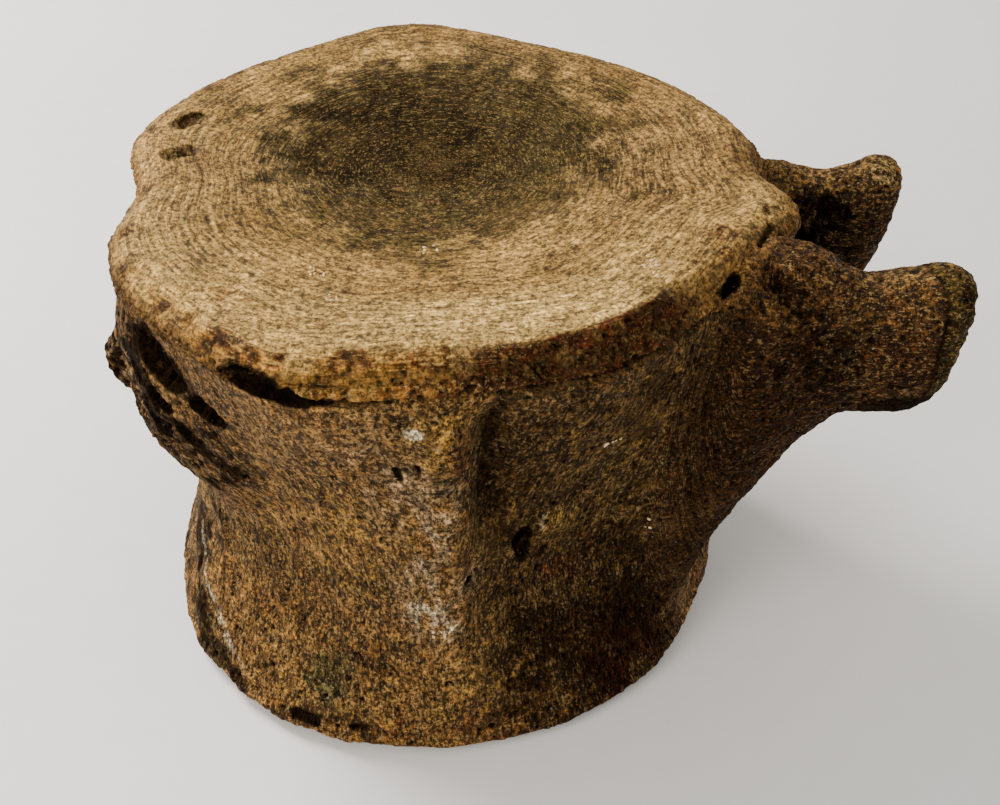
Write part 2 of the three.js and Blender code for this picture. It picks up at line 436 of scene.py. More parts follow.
@dataclass
class BoneShape:
    """The whole bone as one rule of distance: spool, stumps, holes and breaks."""

    spool: Spool = field(default_factory=Spool)
    near_arch: PedicleStump = field(
        default_factory=lambda: PedicleStump(58, 148, -38, -42, 12, 142, 10, 5, 97, 58, 122, 0.16)
    )
    far_arch: PedicleStump = field(
        default_factory=lambda: PedicleStump(58, 142, 22, 20, 11.5, 138.5, 4, 7, 98, 60, 121, 0.2)
    )
    near_haemal: HaemalStump = field(
        default_factory=lambda: HaemalStump(-150, 60, 103.5, 27, 77, 146, 0, 0.5, 0.95)
    )
    far_haemal: HaemalStump = field(default_factory=lambda: HaemalStump(169, 60, 128.5, 15, 47, 83, -0.3, 0.3, 0.72))
    fillet: float = 9.0
    root_depth: float = 5.0
    stump_top: float = 146.5
    noise: Noise = field(default_factory=lambda: Noise(11))

    def hollows(self) -> list[Hollow]:
        """The holes, slits and pits, from the plate's open seam down to the foot."""
        rows = (
            ((-50.4, -85.7, 146.5), (-42.5, -89.7, 146.0), 3.4, 3.9, 0.4),
            ((-42.5, -89.7, 146.0), (-33.5, -92.2, 143.7), 3.9, 2.8, 0.4),
            ((-30.5, -92.4, 143.6), (-25.5, -92.6, 143.3), 1.9, 1.3, 0.5),
            ((75.3, -52.6, 147.0), (78.8, -49.6, 148.6), 2.1, 1.9, 0.5),
            ((92.3, -27.6, 151.2), (87.5, -37.5, 151.4), 1.0, 0.7, 0.4, 0.7),
            ((-81, -63, 137), (-73, -67, 129), 5.6, 4.2, 1.2),
            ((-65.5, -71, 122.5), (-60.5, -73, 119), 3.4, 2.4),
            ((-92, -54, 131), (-86, -60, 123), 3.6, 2.8, 1.2),
            ((-86, -61, 113), (-79, -66, 108), 2.8, 2.0),
            ((-73, -68, 110), (-69, -70, 105), 2.1, 1.4),
            ((-80, -63.5, 121), (-76, -66, 117), 2.2, 1.6),
            ((24.6, -76.2, 79.0), (22.4, -74.4, 72.0), 1.0, 3.1, 0.4),
            ((22.4, -74.4, 72.0), (23.0, -75.8, 64.5), 3.1, 1.3, 0.4),
            ((22.6, -76.0, 72.0), (20.0, -68.0, 71.0), 2.2, 1.6, 0.4),
            ((6.1, -87.4, 68.5), (5.9, -82.0, 68.0), 1.5, 1.1, 0.5),
            ((-11.2, -91.0, 118.2), (-10.3, -91.1, 114.2), 1.1, 0.7, 0.4),
            ((-5.6, -92.2, 120.2), (-4.4, -92.0, 116.6), 1.2, 0.6, 0.4),
            ((113, 7.0, 136), (121, 7.5, 131), 5.0, 6.0, 2.5, 0.45),
            ((104, 9.5, 128), (112, 8.5, 122), 4.0, 5.0, 2.5, 0.45),
            ((101, 12, 150.5), (108, 14, 146), 2.4, 2.0, 1.5),
            ((-84.5, 27, 155.0), (-80, 32, 154.8), 2.9, 3.1, 1.2, 0.4),
            ((-83.5, 8.5, 155.0), (-79, 12, 154.6), 2.9, 3.0, 1.2, 0.4),
            ((-50.0, -92.6, 9.0), (-43.5, -95.8, 8.4), 2.0, 1.8, 0.7),
            ((-30.8, -99.2, 10.6), (-27.4, -99.8, 10.4), 1.6, 1.3, 0.7),
            ((14.0, -100, 13.5), (17.0, -99, 13.0), 1.9, 1.4, 0.8),
            ((31.0, -94.5, 12.0), (37.0, -92, 12.5), 2.2, 1.6, 0.9),
            ((1.0, -94.2, 148.4), (3.5, -94, 147.6), 2.1, 1.6, 0.8),
            ((22, -92.5, 147.3), (26, -91.5, 146.4), 1.8, 1.4, 0.8),
            ((104, -66.5, 118), (110, -66, 121), 1.8, 1.4, 1.0),
            ((96, -69.5, 108), (99, -69, 110.5), 1.5, 1.2, 1.0),
            ((-112, 20, 66), (-109, 14, 60), 3.0, 2.4, 1.5),
            ((60, 74, 70), (60, 72, 63), 1.3, 1.6, 0.7),
            ((-2, 90.5, 72), (-2, 86, 71), 1.3, 1.0, 0.5),
            ((-60, 78, 52), (-58, 79, 49), 1.6, 1.2, 0.7),
        )
        return [Hollow(*row) for row in rows]

    def breaks(self) -> list[Break]:
        """The flat breaks of stumps and plate edge."""
        rows = (
            ((137.5, 17, 143.6), (0.55, -0.35, 0.76), 8.5, 0.35),
            ((128, 26, 112), (0.75, 0.45, -0.45), 9, 1.0),
            ((141, -40, 103.5), (0.6, 0.1, -0.8), 8, 1.2),
            ((148.6, -46, 124), (1.0, 0.02, 0.06), 16, 0.6),
            ((-122, 20, 60), (-0.85, 0.1, -0.5), 12, 1.4),
            ((-88, -62, 92), (-0.6, -0.5, -0.55), 12, 1.3),
            ((10, -91.5, 148.0), (0.1, -0.9, 0.42), 10, 1.1),
        )
        return [Break(*row) for row in rows]

    def hole(self, points: Array) -> Array:
        """How plainly each point of the surface lies in a hole, from 0 to 1, times the hole's darkness: the strength
        of the painted shade laid in it.
        """
        total = np.zeros(len(points), np.float32)
        for gap in self.hollows():
            here = gap.near(points)
            size = 0.5 * (gap.start_radius + gap.end_radius)
            ragged = 0.16 * size * self.noise.layers(points[here], 2.2, 2)
            share = gap.darkness * rise(ragged - gap.distance(points[here]), -0.15 - 0.36 * size, -0.12 * size)
            total[here] = np.maximum(total[here], share)
        return total

    def distance(self, points: Array) -> Array:
        """About how far each point lies outside the bone, negative inside."""
        points = points.astype(np.float32)
        x, y, z = points.T
        angle, out = np.degrees(np.arctan2(y, x)), np.hypot(x, y)
        total = self.spool.distance(points, angle, out).astype(np.float32)
        core = self.spool.radius(angle, z) - self.root_depth - out
        parts = (
            (self.near_arch, (x > 26) & (y < 16), 10.0),
            (self.far_arch, (x > 26) & (y > -28), 10.0),
            (self.near_haemal, (x < -14) & (y < 22), self.fillet),
            (self.far_haemal, (x < -30) & (y > -40), self.fillet),
        )
        for part, here, blend in parts:
            if here.any():
                stump = soft_max(part.distance(points[here]), core[here], 3.0)
                if isinstance(part, HaemalStump):
                    stump = soft_max(stump, z[here] - self.stump_top, 3.0)
                total[here] = soft_min(total[here], stump, blend)
        turn = np.abs(turned(angle, self.spool.bevel_middle))
        bevelled = (z > 138) & (turn < 34)
        slope = self.spool.bevel(out[bevelled], z[bevelled]) - (1 - rise(-turn[bevelled], -27, -17)) * 8
        slope += 1.1 * self.noise.layers(points[bevelled], 7.0, 3, 0.6)
        total[bevelled] = soft_max(total[bevelled], slope, 0.6)
        for gap in self.hollows():
            here = gap.near(points)
            if here.any():
                ragged = 0.3 * gap.start_radius * self.noise.layers(points[here], 3.2, 2)
                total[here] = soft_max(total[here], ragged - gap.distance(points[here]), gap.rounding)
        for gone in self.breaks():
            here = np.linalg.norm(points - np.array(gone.middle, np.float32), axis=1) < gone.reach * 2.4
            if here.any():
                total[here] = soft_max(total[here], gone.distance(points[here], self.noise), 0.8)
        return total


@dataclass
class Mesher:
    """Turns a rule of distance into one closed mesh of small squares."""

    step: float = 0.68
    block: int = 4
    reach: float = 5.2

    def build(self, shape: BoneShape, low: Array, high: Array) -> tuple[Array, Array]:
        """Meshes the surface where the distance is 0.

        Args:
            shape: The rule of distance.
            low: Lowest corner of the space to look in.
            high: Its highest corner.

        Returns:
            Points in millimetres, and squares as four point numbers each.
        """
        size = self.step * self.block
        counts = np.ceil((high - low) / size).astype(int)
        blocks = np.indices(counts).reshape(3, -1).T
        coarse = shape.distance(low + (blocks * self.block + (self.block - 1) / 2) * self.step)
        dense = np.clip(coarse, -self.reach, self.reach).reshape(counts)
        for axis in range(3):
            dense = np.repeat(dense, self.block, axis=axis)
        near = blocks[np.abs(coarse) < self.reach] * self.block
        offsets = np.indices((self.block,) * 3).reshape(3, -1).T
        for part in np.array_split(near, max(1, len(near) // 12000)):
            nodes = (part[:, None, :] + offsets[None]).reshape(-1, 3)
            dense[tuple(nodes.T)] = shape.distance(low + nodes * self.step)
        grid = openvdb.FloatGrid(self.reach)
        grid.copyFromArray(np.ascontiguousarray(dense, np.float32))
        points, squares = grid.convertToQuads(0.0)
        return points.astype(np.float32) * self.step + low.astype(np.float32), squares.astype(np.int64)


@dataclass
class Surface:
    """A mesh of squares with what its shape work needs."""

    points: Array
    squares: Array

    def normals(self) -> Array:
        """Outward direction at each point."""
        a, b, c, d = (self.points[self.squares[:, i]] for i in range(4))
        face = np.cross(c - a, d - b)
        total = self.gather(face, len(self.points))
        return (total / np.maximum(np.linalg.norm(total, axis=1, keepdims=True), 1e-9)).astype(np.float32)

    def largest(self) -> "Surface":
        """The surface without the bits that are not joined to its largest part."""
        label, before = np.arange(len(self.points)), None
        while before is None or (label != before).any():
            before = label.copy()
            np.minimum.at(label, self.squares.ravel(), np.repeat(before[self.squares].min(1), 4))
            label = label[label]
        kept = self.squares[label[self.squares[:, 0]] == np.bincount(label).argmax()]
        used, local = np.unique(kept, return_inverse=True)
        return Surface(self.points[used], local.reshape(-1, 4))

    def gather(self, values: Array, count: int) -> Array:
        """Adds each square's value to its four points."""
        spread = np.repeat(values, 4, axis=0)
        corners = self.squares.ravel()
        return np.stack([np.bincount(corners, spread[:, i], count) for i in range(values.shape[1])], axis=1)

    def blurred(self, values: Array, rounds: int) -> Array:
        """Values averaged with their neighbours' a number of times."""
        values = values.reshape(len(self.points), -1).astype(np.float64)
        count = self.gather(np.ones((len(self.squares), 1)), len(self.points))
        for _ in range(rounds):
            face = sum(values[self.squares[:, i]] for i in range(4)) / 4
            values = self.gather(face, len(self.points)) / np.maximum(count, 1)
        return values


# ---------------------------------------------------------------- relief, staining and painted shade


class Ground(Enum):
    """Named colours of the bone, of what stained it and of the shade painted on it, as screen colours."""

    TAN = 0xA3855A
    MID_TAN = 0x7E623D
    BRIGHT = 0xC6A672
    RING = 0x5C4528
    CENTRE = 0x332C20
    OLIVE = 0x544C32
    MAUVE = 0x7A6148
    ORANGE = 0x8A6437
    RUST = 0x5E3A22
    WINE = 0x451E14
    SIDE = 0x775737
    FLESH = 0x96764E
    DEEP = 0x35241A
    BLACK = 0x14100C
    LILAC = 0x9C8370
    CHALK = 0xCDBFA8
    OCHRE = 0x8F7040
    MOSS = 0x544A28
    SLATE = 0x6F6D50
    STUMP = 0x53321F
    AMBER = 0x8A633A
    FLAKE = 0xA68C6A

    @property
    def linear(self) -> Array:
        """The colour as the three light amounts that shaders use, deepened a little towards brown."""
        value = np.array([(self.value >> shift) & 255 for shift in (16, 8, 0)]) / 255
        light = np.where(value < 0.04045, value / 12.92, ((value + 0.055) / 1.055) ** 2.4)
        return (light ** np.array([1.0, 1.06, 1.22])).astype(np.float32)


@dataclass
class Place:
    """Where each point of the surface lies, in the ways that the relief and the stains need."""

    points: Array
    normal: Array
    spool: Spool

    def __post_init__(self) -> None:
        """Works out angles, shares and soft regions."""
        x, y, z = self.points.T
        self.x, self.y, self.z = x, y, z
        self.angle, self.out = np.degrees(np.arctan2(y, x)), np.hypot(x, y)
        self.over = self.out - self.spool.radius(self.angle, z)
        self.share = self.out / self.spool.cranial_rim(self.angle)
        self.top = rise(self.normal[:, 2], 0.45, 0.8) * rise(z, 141, 144.5) * rise(-self.out, -106, -99)
        self.top *= rise(-self.share, -1.03, -0.985)
        self.plate = rise(z - self.spool.crease(self.angle), -0.6, 0.8) * rise(-self.over, -6, -2.5)
        self.wall = self.plate * (1 - self.top)
        self.base = rise(-self.normal[:, 2], 0.55, 0.85) * rise(-z, -9, -5)
        near = rise(self.over, 1.5, 12) * rise(x, 60, 84)
        self.near_stump = near * rise(-y, 4, 9)
        self.far_stump = near * rise(y, -6, 0)
        ventral = rise(self.over, 1.0, 7) * rise(-x, 40, 60)
        self.near_mass = ventral * rise(-y, 8, 22) * rise(z, 60, 84)
        self.far_knob = ventral * rise(y, -18, -6)
        self.bevel = rise(self.spool.bevel(self.out, z), -2.2, -0.9) * rise(z, 142, 144.5) * self.within(-85, -44, 4)
        self.side = (1 - self.top) * (1 - self.base) * (1 - self.plate)
        warp = 15 * rise(z, 45, 140)
        self.flow = np.radians(self.angle - warp * np.sin(np.radians(2 * (self.angle + 90))))
        slide = 1 - np.clip(self.share, 0, 1) ** 2
        cx, cy = x + 6 * slide, y - 13 * slide
        self.around = np.arctan2(cy, cx)
        shape = 1 + rise(self.share, 0.25, 1.0) * (95 / self.spool.cranial_rim(self.angle) - 1)
        self.ring = np.hypot(cx, cy) * shape

    def within(self, low: float, high: float, soft: float = 6.0) -> Array:
        """How fully each point lies between two angles round the bone."""
        middle, half = (low + high) / 2, (high - low) / 2
        return rise(-np.abs(turned(self.angle, middle)), -half - soft, -half + soft)

    def between(self, low: float, high: float, soft: float = 5.0) -> Array:
        """How fully each point lies between two heights."""
        return rise(self.z, low - soft, low + soft) * rise(-self.z, -high - soft, -high + soft)

    def grain(self) -> Array:
        """Places stretched along the fibres, in millimetres across them."""
        side = np.stack([80 * np.cos(self.flow), 80 * np.sin(self.flow), 0.27 * self.z], axis=1)
        stump = np.stack([0.32 * self.x + 30, self.y, self.z], axis=1)
        top = np.stack([self.ring, 7.5 * np.cos(self.around), 7.5 * np.sin(self.around)], axis=1)
        bare = np.maximum(self.near_stump, self.far_stump)[:, None]
        mixed = side * (1 - bare) + stump * bare
        return (mixed * (1 - self.top[:, None]) + top * self.top[:, None]).astype(np.float32)


@dataclass
class Relief:
    """Small shape of the surface: lumps, fibres, growth lines, pores and broken cells."""

    lump: float = 0.9
    knob: float = 0.4
    fibre: float = 0.4
    ring_height: float = 0.15
    ring_spacing: float = 2.3
    pore: float = 0.8
    sponge: float = 1.5
    noise: Noise = field(default_factory=lambda: Noise(29))

    def broken(self, place: Place) -> Array:
        """Where the inner cells of the bone lie open, from 0 to 1."""
        p = place.points
        blots = self.noise.layers(p, 9.0, 3)
        mask = (
            1.0 * spot(p, (106, -64, 126), (20, 12, 15))
            + 0.6 * spot(p, (126, -60, 112), (16, 12, 10))
            + 0.95 * spot(p, (-84, -62, 104), (20, 22, 19))
            + 0.8 * spot(p, (-96, -46, 108), (16, 18, 22))
            + 1.0 * spot(p, (112, 8, 128), (18, 9, 15))
            + 0.9 * place.far_knob
            + 0.7 * spot(p, (149, -46, 120), (6, 16, 20))
            + 0.55 * spot(p, (-95, -20, 100), (14, 24, 26))
            + 0.5 * place.wall * place.within(-75, -42)
            + 0.5 * place.wall * place.within(-104, -78)
            + 0.5 * spot(p, (122, 30, 112), (12, 10, 14))
        )
        return rise(mask + 0.33 * blots, 0.42, 0.85)

    def rings(self, place: Place) -> tuple[Array, Array]:
        """The growth lines of the upper face.

        Args:
            place: Where the points lie.

        Returns:
            The lines' wave from -1 to 1, and how plainly they show.
        """
        grain = place.grain()
        drift = 1.1 * self.noise.layers(grain * np.array([0.35, 1.1, 1.1], np.float32), 5.0, 2)
        wave = np.sin(2 * np.pi * (place.ring + 1.3 * drift) / self.ring_spacing)
        worn = self.noise.layers(place.points, 16, 2)
        dashes = rise(self.noise.layers(grain * np.array([1.0, 2.6, 2.6], np.float32), 2.2, 3, 0.7), -0.3, 0.4)
        plain = rise(place.ring, 34, 46) * rise(-place.ring, -88, -78) * (0.62 + 0.35 * worn)
        angle = np.degrees(place.around)
        plain *= 0.45 + 0.75 * lobe(angle, -172, 62) + 0.65 * lobe(angle, -22, 34) + 0.3 * lobe(angle, 95, 40)
        return wave * (0.15 + 0.85 * dashes), np.clip(plain, 0, 1.2) * place.top

    def height(self, place: Place) -> tuple[Array, Array, Array]:
        """How far the surface stands out at each point.

        Args:
            place: Where the points lie.

        Returns:
            The height in millimetres, the share of broken cells, and how deep in a pore each point is.
        """
        p, grain = place.points, place.grain()
        broken = self.broken(place)
        calm = 1 - 0.75 * place.top - 0.85 * place.base
        total = self.lump * calm * self.noise.layers(p, 27, 2)
        total += self.knob * (calm + 0.1) * self.noise.layers(p, 7.5, 3, 0.6)
        strands = self.noise.layers(grain, 2.3, 3, 0.6)
        total += self.fibre * (1 - 0.72 * place.top) * (1 - 0.9 * place.base) * strands
        wave, plain = self.rings(place)
        total += self.ring_height * plain * wave
        total += 0.16 * calm * self.noise.layers(grain, 1.3, 2) + 0.1 * (calm + 0.3) * self.noise.smooth(p / 1.7)
        bent = self.noise.bent(p, 2.4, 0.95)
        gap, own = self.noise.cells(bent * np.array([1, 1, 0.8], np.float32), 2.7)
        porous = np.clip(
            0.3 * place.side
            + 0.5 * np.maximum(place.near_stump, place.far_stump)
            + 0.6 * place.near_mass
            + 0.35 * place.between(0, 40) * place.side
            + 0.3 * place.wall
            + 0.3 * self.noise.layers(p, 21, 2) * (1 - place.top),
            0,
            1,
        )
        pit = rise(-gap, -0.4, -0.1) * rise(own, 1 - porous, 1 - porous + 0.12) * rise(own, 0.1, 0.7)
        total -= self.pore * pit
        gap, own = self.noise.cells(bent * np.array([0.75, 1, 1], np.float32), 2.5)
        cell = rise(-gap, -0.52, -0.2) * rise(own, 0.12, 0.3)
        total -= self.sponge * broken * cell
        total += 0.5 * broken * self.noise.layers(p, 3.4, 2)
        ragged = self.noise.layers(p, 4.4, 3, 0.75)
        front = 0.45 + 0.55 * lobe(place.angle, -85, 50)
        edge = np.maximum(place.wall, 0.7 * rise(place.share, 0.88, 0.97) * place.top)
        total += edge * front * (1.45 * ragged - 1.3 * rise(ragged, 0.15, 0.6))
        total += self.folds(place)
        return total.astype(np.float32), broken, np.maximum(pit, broken * cell)

    def folds(self, place: Place) -> Array:
        """The furrow beside the near ridge, the ledge on the ridge, and the swellings near them."""
        p = place.points
        furrow = lobe(place.angle, -80.8, 3.2) * place.between(84, 135, 9)
        ledge = lobe(place.angle, -88.5, 3.4) * rise(place.z, 115.5, 117.5) * rise(-place.z, -139, -130)
        swell = spot(p, (32, -70, 77), (5.0, 5.0, 6.0))
        lip = spot(p, (27.2, -73, 76), (1.4, 2.4, 6.0))
        pale = spot(p, (-6, -91, 132.6), (2.6, 3, 2.4))
        fold = lobe(place.angle, -118, 5) * place.between(76, 104, 8)
        swirl = 0.5 * np.sin((place.z - 0.9 * turned(place.angle, -118)) * 0.55) * fold
        veins = lobe(place.angle, -146, 3) * place.between(8, 58)
        crest = lobe(place.angle, -88.5, 4.5, 3.0) * place.between(48, 138, 14)
        return (
            -4.4 * furrow + 2.0 * crest + 1.6 * ledge + 1.7 * swell + 1.0 * lip + 0.5 * pale + swirl + 0.7 * veins
        ).astype(np.float32) * place.side


class Coat:
    """Colours laid over one another at each point."""

    def __init__(self, count: int, first: Ground) -> None:
        """Starts with one colour everywhere."""
        self.colour = np.tile(first.linear, (count, 1))

    def cover(self, colour: Array, share: Array) -> None:
        """Lays a colour over the ones below it by a share for each point."""
        self.colour = self.colour * (1 - share[:, None]) + colour * share[:, None]

    def lay(self, colour: Ground, share: Array) -> None:
        """Lays a named colour over the ones below it, its share held between 0 and 1."""
        self.cover(colour.linear, np.clip(share, 0, 1))

    def dim(self, share: Array) -> None:
        """Darkens the coat by a share for each point."""
        self.colour = self.colour * (1 - share)[:, None]


@dataclass
class StainsAndShade:
    """Where each colour of the bone lies, and the light and shade painted in with them."""

    noise: Noise = field(default_factory=lambda: Noise(53))

    def top(self, place: Place, relief: Relief) -> Coat:
        """Colours of the upper face and its rim, with painted light on the dish's near inner slope and painted shade
        in two rim pits.
        """
        p, a = place.points, place.angle
        wide, mid, fine = (self.noise.layers(p, size, 3, 0.6) for size in (26, 8, 2.6))
        coat = Coat(len(p), Ground.TAN)
        coat.lay(Ground.MID_TAN, 0.5 + 0.6 * wide + 0.35 * mid)
        coat.lay(Ground.MAUVE, 0.75 * spot(p, (66, 8, 152), (26, 44, 30)) + 0.35 * spot(p, (-84, -8, 152), 26))
        coat.lay(Ground.MAUVE, 0.5 * spot(p, (30, 78, 152), (36, 18, 20)))
        coat.lay(Ground.RING, 0.85 * spot(p, (-5, 98, 152), (84, 28, 20)) * (0.8 + mid))
        # Painted light: the near inner slope of the dish, which faces the lamp behind, is laid brighter.
        dish = rise(place.share, 0.6, 0.74) * rise(-place.share, -0.96, -0.86)
        coat.lay(Ground.BRIGHT, dish * (lobe(a, -74, 42) * 0.95 + 0.3 * lobe(a, -140, 30)) + 0.2 * mid * dish)
        near = 0.65 * spot(p, (87, -24, 153), (10, 14, 20)) * (0.8 + 0.6 * mid)
        coat.lay(Ground.BRIGHT, near + 0.35 * spot(p, (-95, -30, 150), 16))
        wave, plain = relief.rings(place)
        coat.lay(Ground.RING, 0.78 * plain * rise(-wave + 0.4 * mid, -0.05, 0.8))
        coat.lay(Ground.BRIGHT, 0.4 * plain * rise(wave, 0.3, 1.0))
        coat.lay(Ground.RING, 0.35 * rise(mid + 0.5 * fine, 0.25, 0.9))
        oval = np.hypot((place.x + 3) / 54, (place.y - 24) / 56)
        shade = rise(1.2 - oval + 0.22 * mid + 0.12 * wide, 0, 0.4)
        core = rise(1.05 - np.hypot((place.x + 14) / 42, (place.y - 30) / 42) + 0.28 * mid, 0, 0.75)
        coat.lay(Ground.OLIVE, 0.9 * shade)
        coat.lay(Ground.CENTRE, shade * np.clip(0.5 + 0.6 * core + 0.45 * fine, 0, 1))
        coat.lay(Ground.BLACK, 0.75 * core * rise(mid + fine, -0.3, 0.9))
        coat.lay(Ground.MID_TAN, shade * (0.12 + 0.45 * rise(-place.y, -24, 10)) * rise(fine, 0.15, 0.7))
        coat.dim(0.34 * shade)
        rim = rise(place.share + 0.035 * mid + 0.02 * fine, 0.915, 0.965)
        coat.lay(Ground.ORANGE, rim * np.clip(lobe(a, -108, 42) * 0.9 + 0.5 * mid, 0, 1))
        speckled = 0.6 * rise(place.share, 0.86, 0.94) * rise(mid + 0.7 * fine, 0.0, 0.6)
        coat.lay(Ground.RING, speckled * lobe(a, -105, 60))
        coat.lay(Ground.RUST, rim * rise(mid + 0.6 * fine, 0.15, 0.75) * lobe(a, -95, 50))
        coat.lay(Ground.MID_TAN, 0.6 * rim * lobe(a, 90, 80))
        coat.lay(Ground.ORANGE, 0.5 * spot(p, (-58, -62, 153), (16, 14, 12)) * rise(fine + mid, -0.1, 0.8))
        # Painted shade inside the two pits at the rim's ventral edge.
        coat.lay(Ground.DEEP, 0.8 * (spot(p, (-82, 29.5, 153), (5, 3.4, 5)) + spot(p, (-81, 10.5, 153), (5, 3, 5))))
        coat.lay(Ground.DEEP, 0.8 * rim * rise(fine + 0.6 * mid, 0.3, 0.75))
        return coat

    def wall(self, place: Place) -> Coat:
        """Colours of the upper plate's outer edge."""
        p, a = place.points, place.angle
        mid, fine = self.noise.layers(p, 7, 3, 0.6), self.noise.layers(p, 2.4, 3, 0.6)
        coat = Coat(len(p), Ground.SIDE)
        coat.lay(Ground.ORANGE, lobe(a, -103, 30) * (0.75 + 0.5 * mid))
        coat.lay(Ground.RUST, lobe(a, -80, 20) * (0.6 + 0.6 * mid))
        coat.lay(Ground.OCHRE, rise(fine, 0.3, 0.8) * lobe(a, -95, 45) * 0.7)
        coat.lay(Ground.DEEP, place.within(-168, -128, 8) * 0.85)
        coat.lay(Ground.DEEP, rise(-fine - 0.5 * mid, 0.15, 0.8) * 0.85)
        coat.lay(Ground.MID_TAN, 0.5 * lobe(a, 95, 70) * (0.8 + mid))
        return coat

    def side(self, place: Place) -> Coat:
        """Colours of the body's sides, above all of the near one, with painted shade in the furrow and hollow beside
        the near ridge.
        """
        p, a, z = place.points, place.angle, place.z
        wide, mid, fine = (self.noise.layers(p, size, 3, 0.6) for size in (30, 9, 3))
        streak = self.noise.layers(place.grain(), 2.6, 3, 0.6)
        left, right = place.within(-160, -96), place.within(-82, -38)
        broad = self.noise.layers(p, 64, 3, 0.55)
        hidden = 1 - place.within(-165, -35, 12)
        coat = Coat(len(p), Ground.SIDE)
        coat.lay(Ground.FLESH, 0.35 + 0.5 * streak + 0.3 * wide)
        coat.lay(Ground.DEEP, 0.5 * rise(mid + 0.5 * wide, 0.1, 0.9))
        coat.lay(Ground.OCHRE, left * (0.45 * place.between(50, 100, 14) + 0.25) * rise(mid + wide, -0.3, 0.8))
        coat.lay(Ground.MAUVE, 0.7 * left * place.between(106, 142, 12) * (0.8 + 0.6 * streak))
        coat.lay(Ground.DEEP, left * rise(wide + 0.6 * mid, 0.0, 0.8) * place.between(40, 142, 10) * 0.6)
        coat.lay(Ground.OCHRE, 0.75 * spot(p, (-30, -82, 84), (11, 14, 17)) * (0.8 + mid))
        coat.lay(Ground.AMBER, left * place.between(4, 46, 10) * (0.55 + 0.6 * mid))
        coat.lay(Ground.DEEP, left * place.between(0, 62, 8) * rise(mid - 0.4 * streak, 0.2, 0.8) * 0.8)
        coat.lay(Ground.MOSS, right * (0.45 + 0.4 * wide))
        coat.lay(Ground.DEEP, right * (0.3 + 0.5 * rise(-streak, -0.2, 0.6)))
        coat.lay(Ground.DEEP, right * rise(wide + mid, -0.1, 0.9) * 0.75)
        high = 0.45 * spot(p, (43, -72, 106), (15, 8, 13)) * (0.6 + mid)
        coat.lay(Ground.OCHRE, 0.7 * spot(p, (33, -70, 76), (6, 6, 9)) + high)
        coat.lay(Ground.OCHRE, right * rise(mid + 0.5 * fine, 0.45, 0.95) * 0.55)
        coat.lay(Ground.RUST, spot(p, (35, -71, 55), (12, 8, 10)) * (0.75 + mid))
        coat.lay(Ground.WINE, spot(p, (58, -76, 18), (28, 18, 20)) * (0.95 + 0.6 * mid))
        coat.lay(Ground.BLACK, 0.6 * spot(p, (62, -70, 26), (22, 18, 26)) * (0.8 + mid))
        coat.lay(Ground.RUST, place.within(-104, -70) * place.between(0, 17, 6) * (0.6 + 0.6 * mid))
        foot = place.within(-125, -66) * place.between(0, 30, 6)
        coat.lay(Ground.OCHRE, foot * rise(fine + 0.5 * mid, 0.25, 0.8) * 0.75)
        strands = rise(streak + 0.5 * fine, -0.35, 0.45)
        ridge = lobe(a, -90.5 + 0.07 * (z - 90), 4.6, 3.2) * place.between(52, 114, 10)
        coat.lay(Ground.LILAC, ridge * strands * 0.7)
        coat.lay(Ground.LILAC, 0.75 * spot(p, (-15, -89, 115), (17, 10, 15)) * strands)
        coat.lay(Ground.LILAC, 0.5 * spot(p, (-9, -91, 76), (9, 8, 22)) * strands)
        coat.lay(Ground.CHALK, 0.75 * spot(p, (-5.5, -92, 61), (4.5, 6, 5.5)) * rise(streak + fine, -0.2, 0.5))
        coat.lay(Ground.CHALK, 0.7 * spot(p, (-1, -92, 53.5), (6, 6, 3.2)) * rise(streak + fine, -0.2, 0.5))
        coat.lay(Ground.CHALK, 0.28 * ridge * rise(streak + 0.6 * fine, 0.3, 0.8))
        coat.lay(Ground.OCHRE, 1.1 * lobe(a, -89.5, 3.6) * place.between(119, 139, 4))
        coat.lay(Ground.RUST, 0.95 * lobe(a, -86.8, 2.6) * place.between(114, 130, 5))
        # Painted shade: the hollow right of the near ridge is laid darker, and the furrow beside it near black.
        coat.lay(Ground.DEEP, 0.75 * lobe(a, -79, 6, 12) * place.between(66, 136, 12) * (0.8 + 0.6 * streak))
        furrow = lobe(a, -81, 3.0) * place.between(84, 136, 9)
        coat.lay(Ground.BLACK, 0.6 * furrow * (0.6 + 0.7 * streak + 0.4 * mid))
        coat.lay(Ground.OLIVE, 0.6 * lobe(a, -82.6, 0.9) * place.between(70, 134))
        coat.lay(Ground.LILAC, 0.85 * spot(p, (6, -86, 68.5), (5, 5, 4.5)))
        patch = spot(p, (-39, -89, 24), (9, 8, 11))
        coat.lay(Ground.OLIVE, rise(patch + 0.25 * mid + 0.2 * fine, 0.3, 0.6))
        coat.lay(Ground.SLATE, patch * rise(fine + 0.4 * mid, -0.1, 0.7))
        coat.lay(Ground.CHALK, 0.95 * rise(spot(p, (-6, -91.8, 132.6), (2.7, 3.5, 1.9)) + 0.15 * fine, 0.38, 0.46))
        coat.lay(Ground.CHALK, 0.85 * rise(spot(p, (28.2, -72, 78.5), (1.2, 2.5, 4.5)), 0.3, 0.6))
        edge = place.within(-178, -142, 5) * place.between(4, 62)
        coat.lay(Ground.BLACK, 0.85 * edge * rise(mid - 0.3 * fine, -0.25, 0.5))
        blots = spot(p, (-86, -36, 40), (9, 11, 12)) + 1.2 * spot(p, (-86, -57, 18), (10, 10, 13))
        blots = blots + 0.9 * spot(p, (-76, -70, 10), (9, 8, 7)) + 0.6 * spot(p, (-68, -79, 7), (8, 7, 4))
        coat.lay(Ground.BLACK, 0.88 * rise(blots + 0.3 * mid + 0.25 * fine, 0.36, 0.6))
